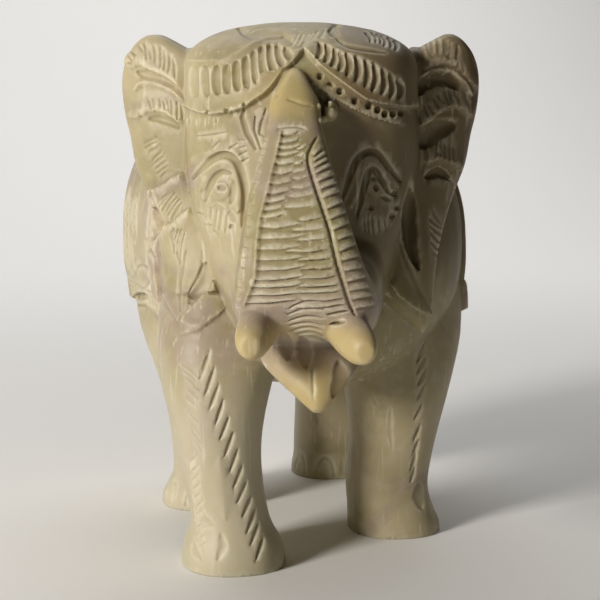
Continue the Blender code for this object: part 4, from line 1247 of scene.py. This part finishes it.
def paint_marks(mesh, cuts, chalk):
    """Stores how much each point was worked, the honey and mauve parts, and the painted light and painted
    shadow, for the material.
    """
    skin = Skin(mesh)
    x, y, z = skin.in_head.T
    beyond = ease(y, -46, -54)
    tusks = ease(z, 50, 46) * beyond
    tip = ease(z, 80, 84) * ease(y, -36, -40)
    lip = ease(z, 44, 38) * ease(y, -40, -46)
    foot = ease(z, 60, 52) * ease(y, -40, -46) * ease(np.abs(x - 2), 14, 8)
    mouth = ease(z, 53.5, 50) * ease(y, -28, -34) * ease(z, 36, 42) * (1 - tusks)
    marks = {
        "worked": np.clip(cuts * 1.4, 0, 1),
        "chalk": chalk,
        "honey": np.clip(0.8 * tusks + 0.75 * tip + 0.4 * lip, 0, 1),
        # Painted shadow: brown where the trunk shades the face to its right, and on the right side of the tip
        "painted_shadow": 0.8 * ease(x, 1, 11) * ease(z, 46, 60) * ease(y, -40, -37)
        + 0.3 * tip * ease(x, 0, 2.5),
        # Painted light: the lower left legs, on the side the key light falls on, are made paler
        "painted_light": 0.6 * ease(z, 48, 25) * ease(x, 2, -8),
        "blush": np.clip(0.6 * foot + mouth, 0, 1),
    }
    for name, values in marks.items():
        layer = mesh.attributes.new(name, "FLOAT", "POINT")
        layer.data.foreach_set("value", values.astype(np.float32))


def carved_stone():
    skin = rough_block()
    paint_marks(skin, *carve(skin))
    mesh = thinned(skin)
    flat_soles(mesh)
    place_in_frame(mesh)
    mesh.name = "carved_stone"
    mesh.materials.clear()
    mesh.materials.append(soapstone())
    mesh.shade_smooth()
    piece = linked("carved_stone", mesh)
    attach(piece, "root")
    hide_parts("elephant")


def floor():
    """A pale floor that curves up far behind."""
    bm = bmesh.new()
    profile = [(-FLOOR_REACH, 0.0), (FLOOR_REACH, 0.0)]
    for step in range(1, BEND_STEPS + 1):
        bend = pi / 2 * step / BEND_STEPS
        profile.append((FLOOR_REACH + FLOOR_BEND * sin(bend), FLOOR_BEND * (1 - cos(bend))))
    profile.append((FLOOR_REACH + FLOOR_BEND, FLOOR_BEND * 6))
    rows = [[bm.verts.new((side * FLOOR_REACH * 2, y, z)) for side in (-1, 1)] for y, z in profile]
    for near, far in zip(rows, rows[1:]):
        bm.faces.new((near[0], near[1], far[1], far[0]))
    mesh = bpy.data.meshes.new("floor")
    bm.to_mesh(mesh)
    bm.free()
    mesh.shade_smooth()
    ground = Nodes("floor")
    fill(ground.shader, {"Base Color": (*FLOOR_COLOUR, 1.0), "Roughness": FLOOR_ROUGHNESS})
    mesh.materials.append(ground.material)
    obj = linked("floor", mesh)


def area_light(name, place, aim, size, power, colour):
    data = bpy.data.lights.new(name, "AREA")
    data.size = size
    data.energy = power
    data.color = colour
    light = linked(name, data)
    light.location = place
    light.rotation_euler = (Vector(aim) - Vector(place)).to_track_quat("-Z", "Y").to_euler()


def lights():
    area_light("key", KEY_PLACE, KEY_AIM, KEY_SIZE, KEY_POWER, KEY_COLOUR)
    area_light("backdrop", BACKDROP_LIGHT_PLACE, BACKDROP_LIGHT_AIM, BACKDROP_LIGHT_SIZE,
               BACKDROP_LIGHT_POWER, BACKDROP_LIGHT_COLOUR)
    studio()
    bpy.context.scene.view_settings.view_transform = "Standard"


def studio():
    """Soft light from all round, and pale surroundings beyond the floor."""
    world = bpy.data.worlds.new("studio")
    world.use_nodes = True
    nodes, join = world.node_tree.nodes, world.node_tree.links.new
    soft, beyond = nodes["Background"], nodes.new("ShaderNodeBackground")
    fill(soft, {"Color": (*WORLD_COLOUR, 1.0), "Strength": WORLD_STRENGTH})
    fill(beyond, {"Color": (*FLOOR_COLOUR, 1.0), "Strength": BEYOND_STRENGTH})
    seen = nodes.new("ShaderNodeMixShader")
    join(nodes.new("ShaderNodeLightPath").outputs["Is Camera Ray"], seen.inputs["Fac"])
    join(soft.outputs["Background"], seen.inputs[1])
    join(beyond.outputs["Background"], seen.inputs[2])
    join(seen.outputs["Shader"], nodes["World Output"].inputs["Surface"])
    bpy.context.scene.world = world


def camera():
    """The photograph's view: from the front, a little to one side, at the height of the eyes."""
    data = bpy.data.cameras.new("camera")
    data.sensor_width = SENSOR_WIDTH
    data.lens = SENSOR_WIDTH * PHOTO_FOCAL / PHOTO_SIZE
    data.clip_start = 0.01
    obj = linked("camera", data)
    obj.location = CAMERA_PLACE
    obj.rotation_euler = (pi / 2 - PHOTO_DIP, 0.0, -PHOTO_PAN)
    bpy.context.scene.camera = obj


camera()
lights()
floor()
carved_stone()
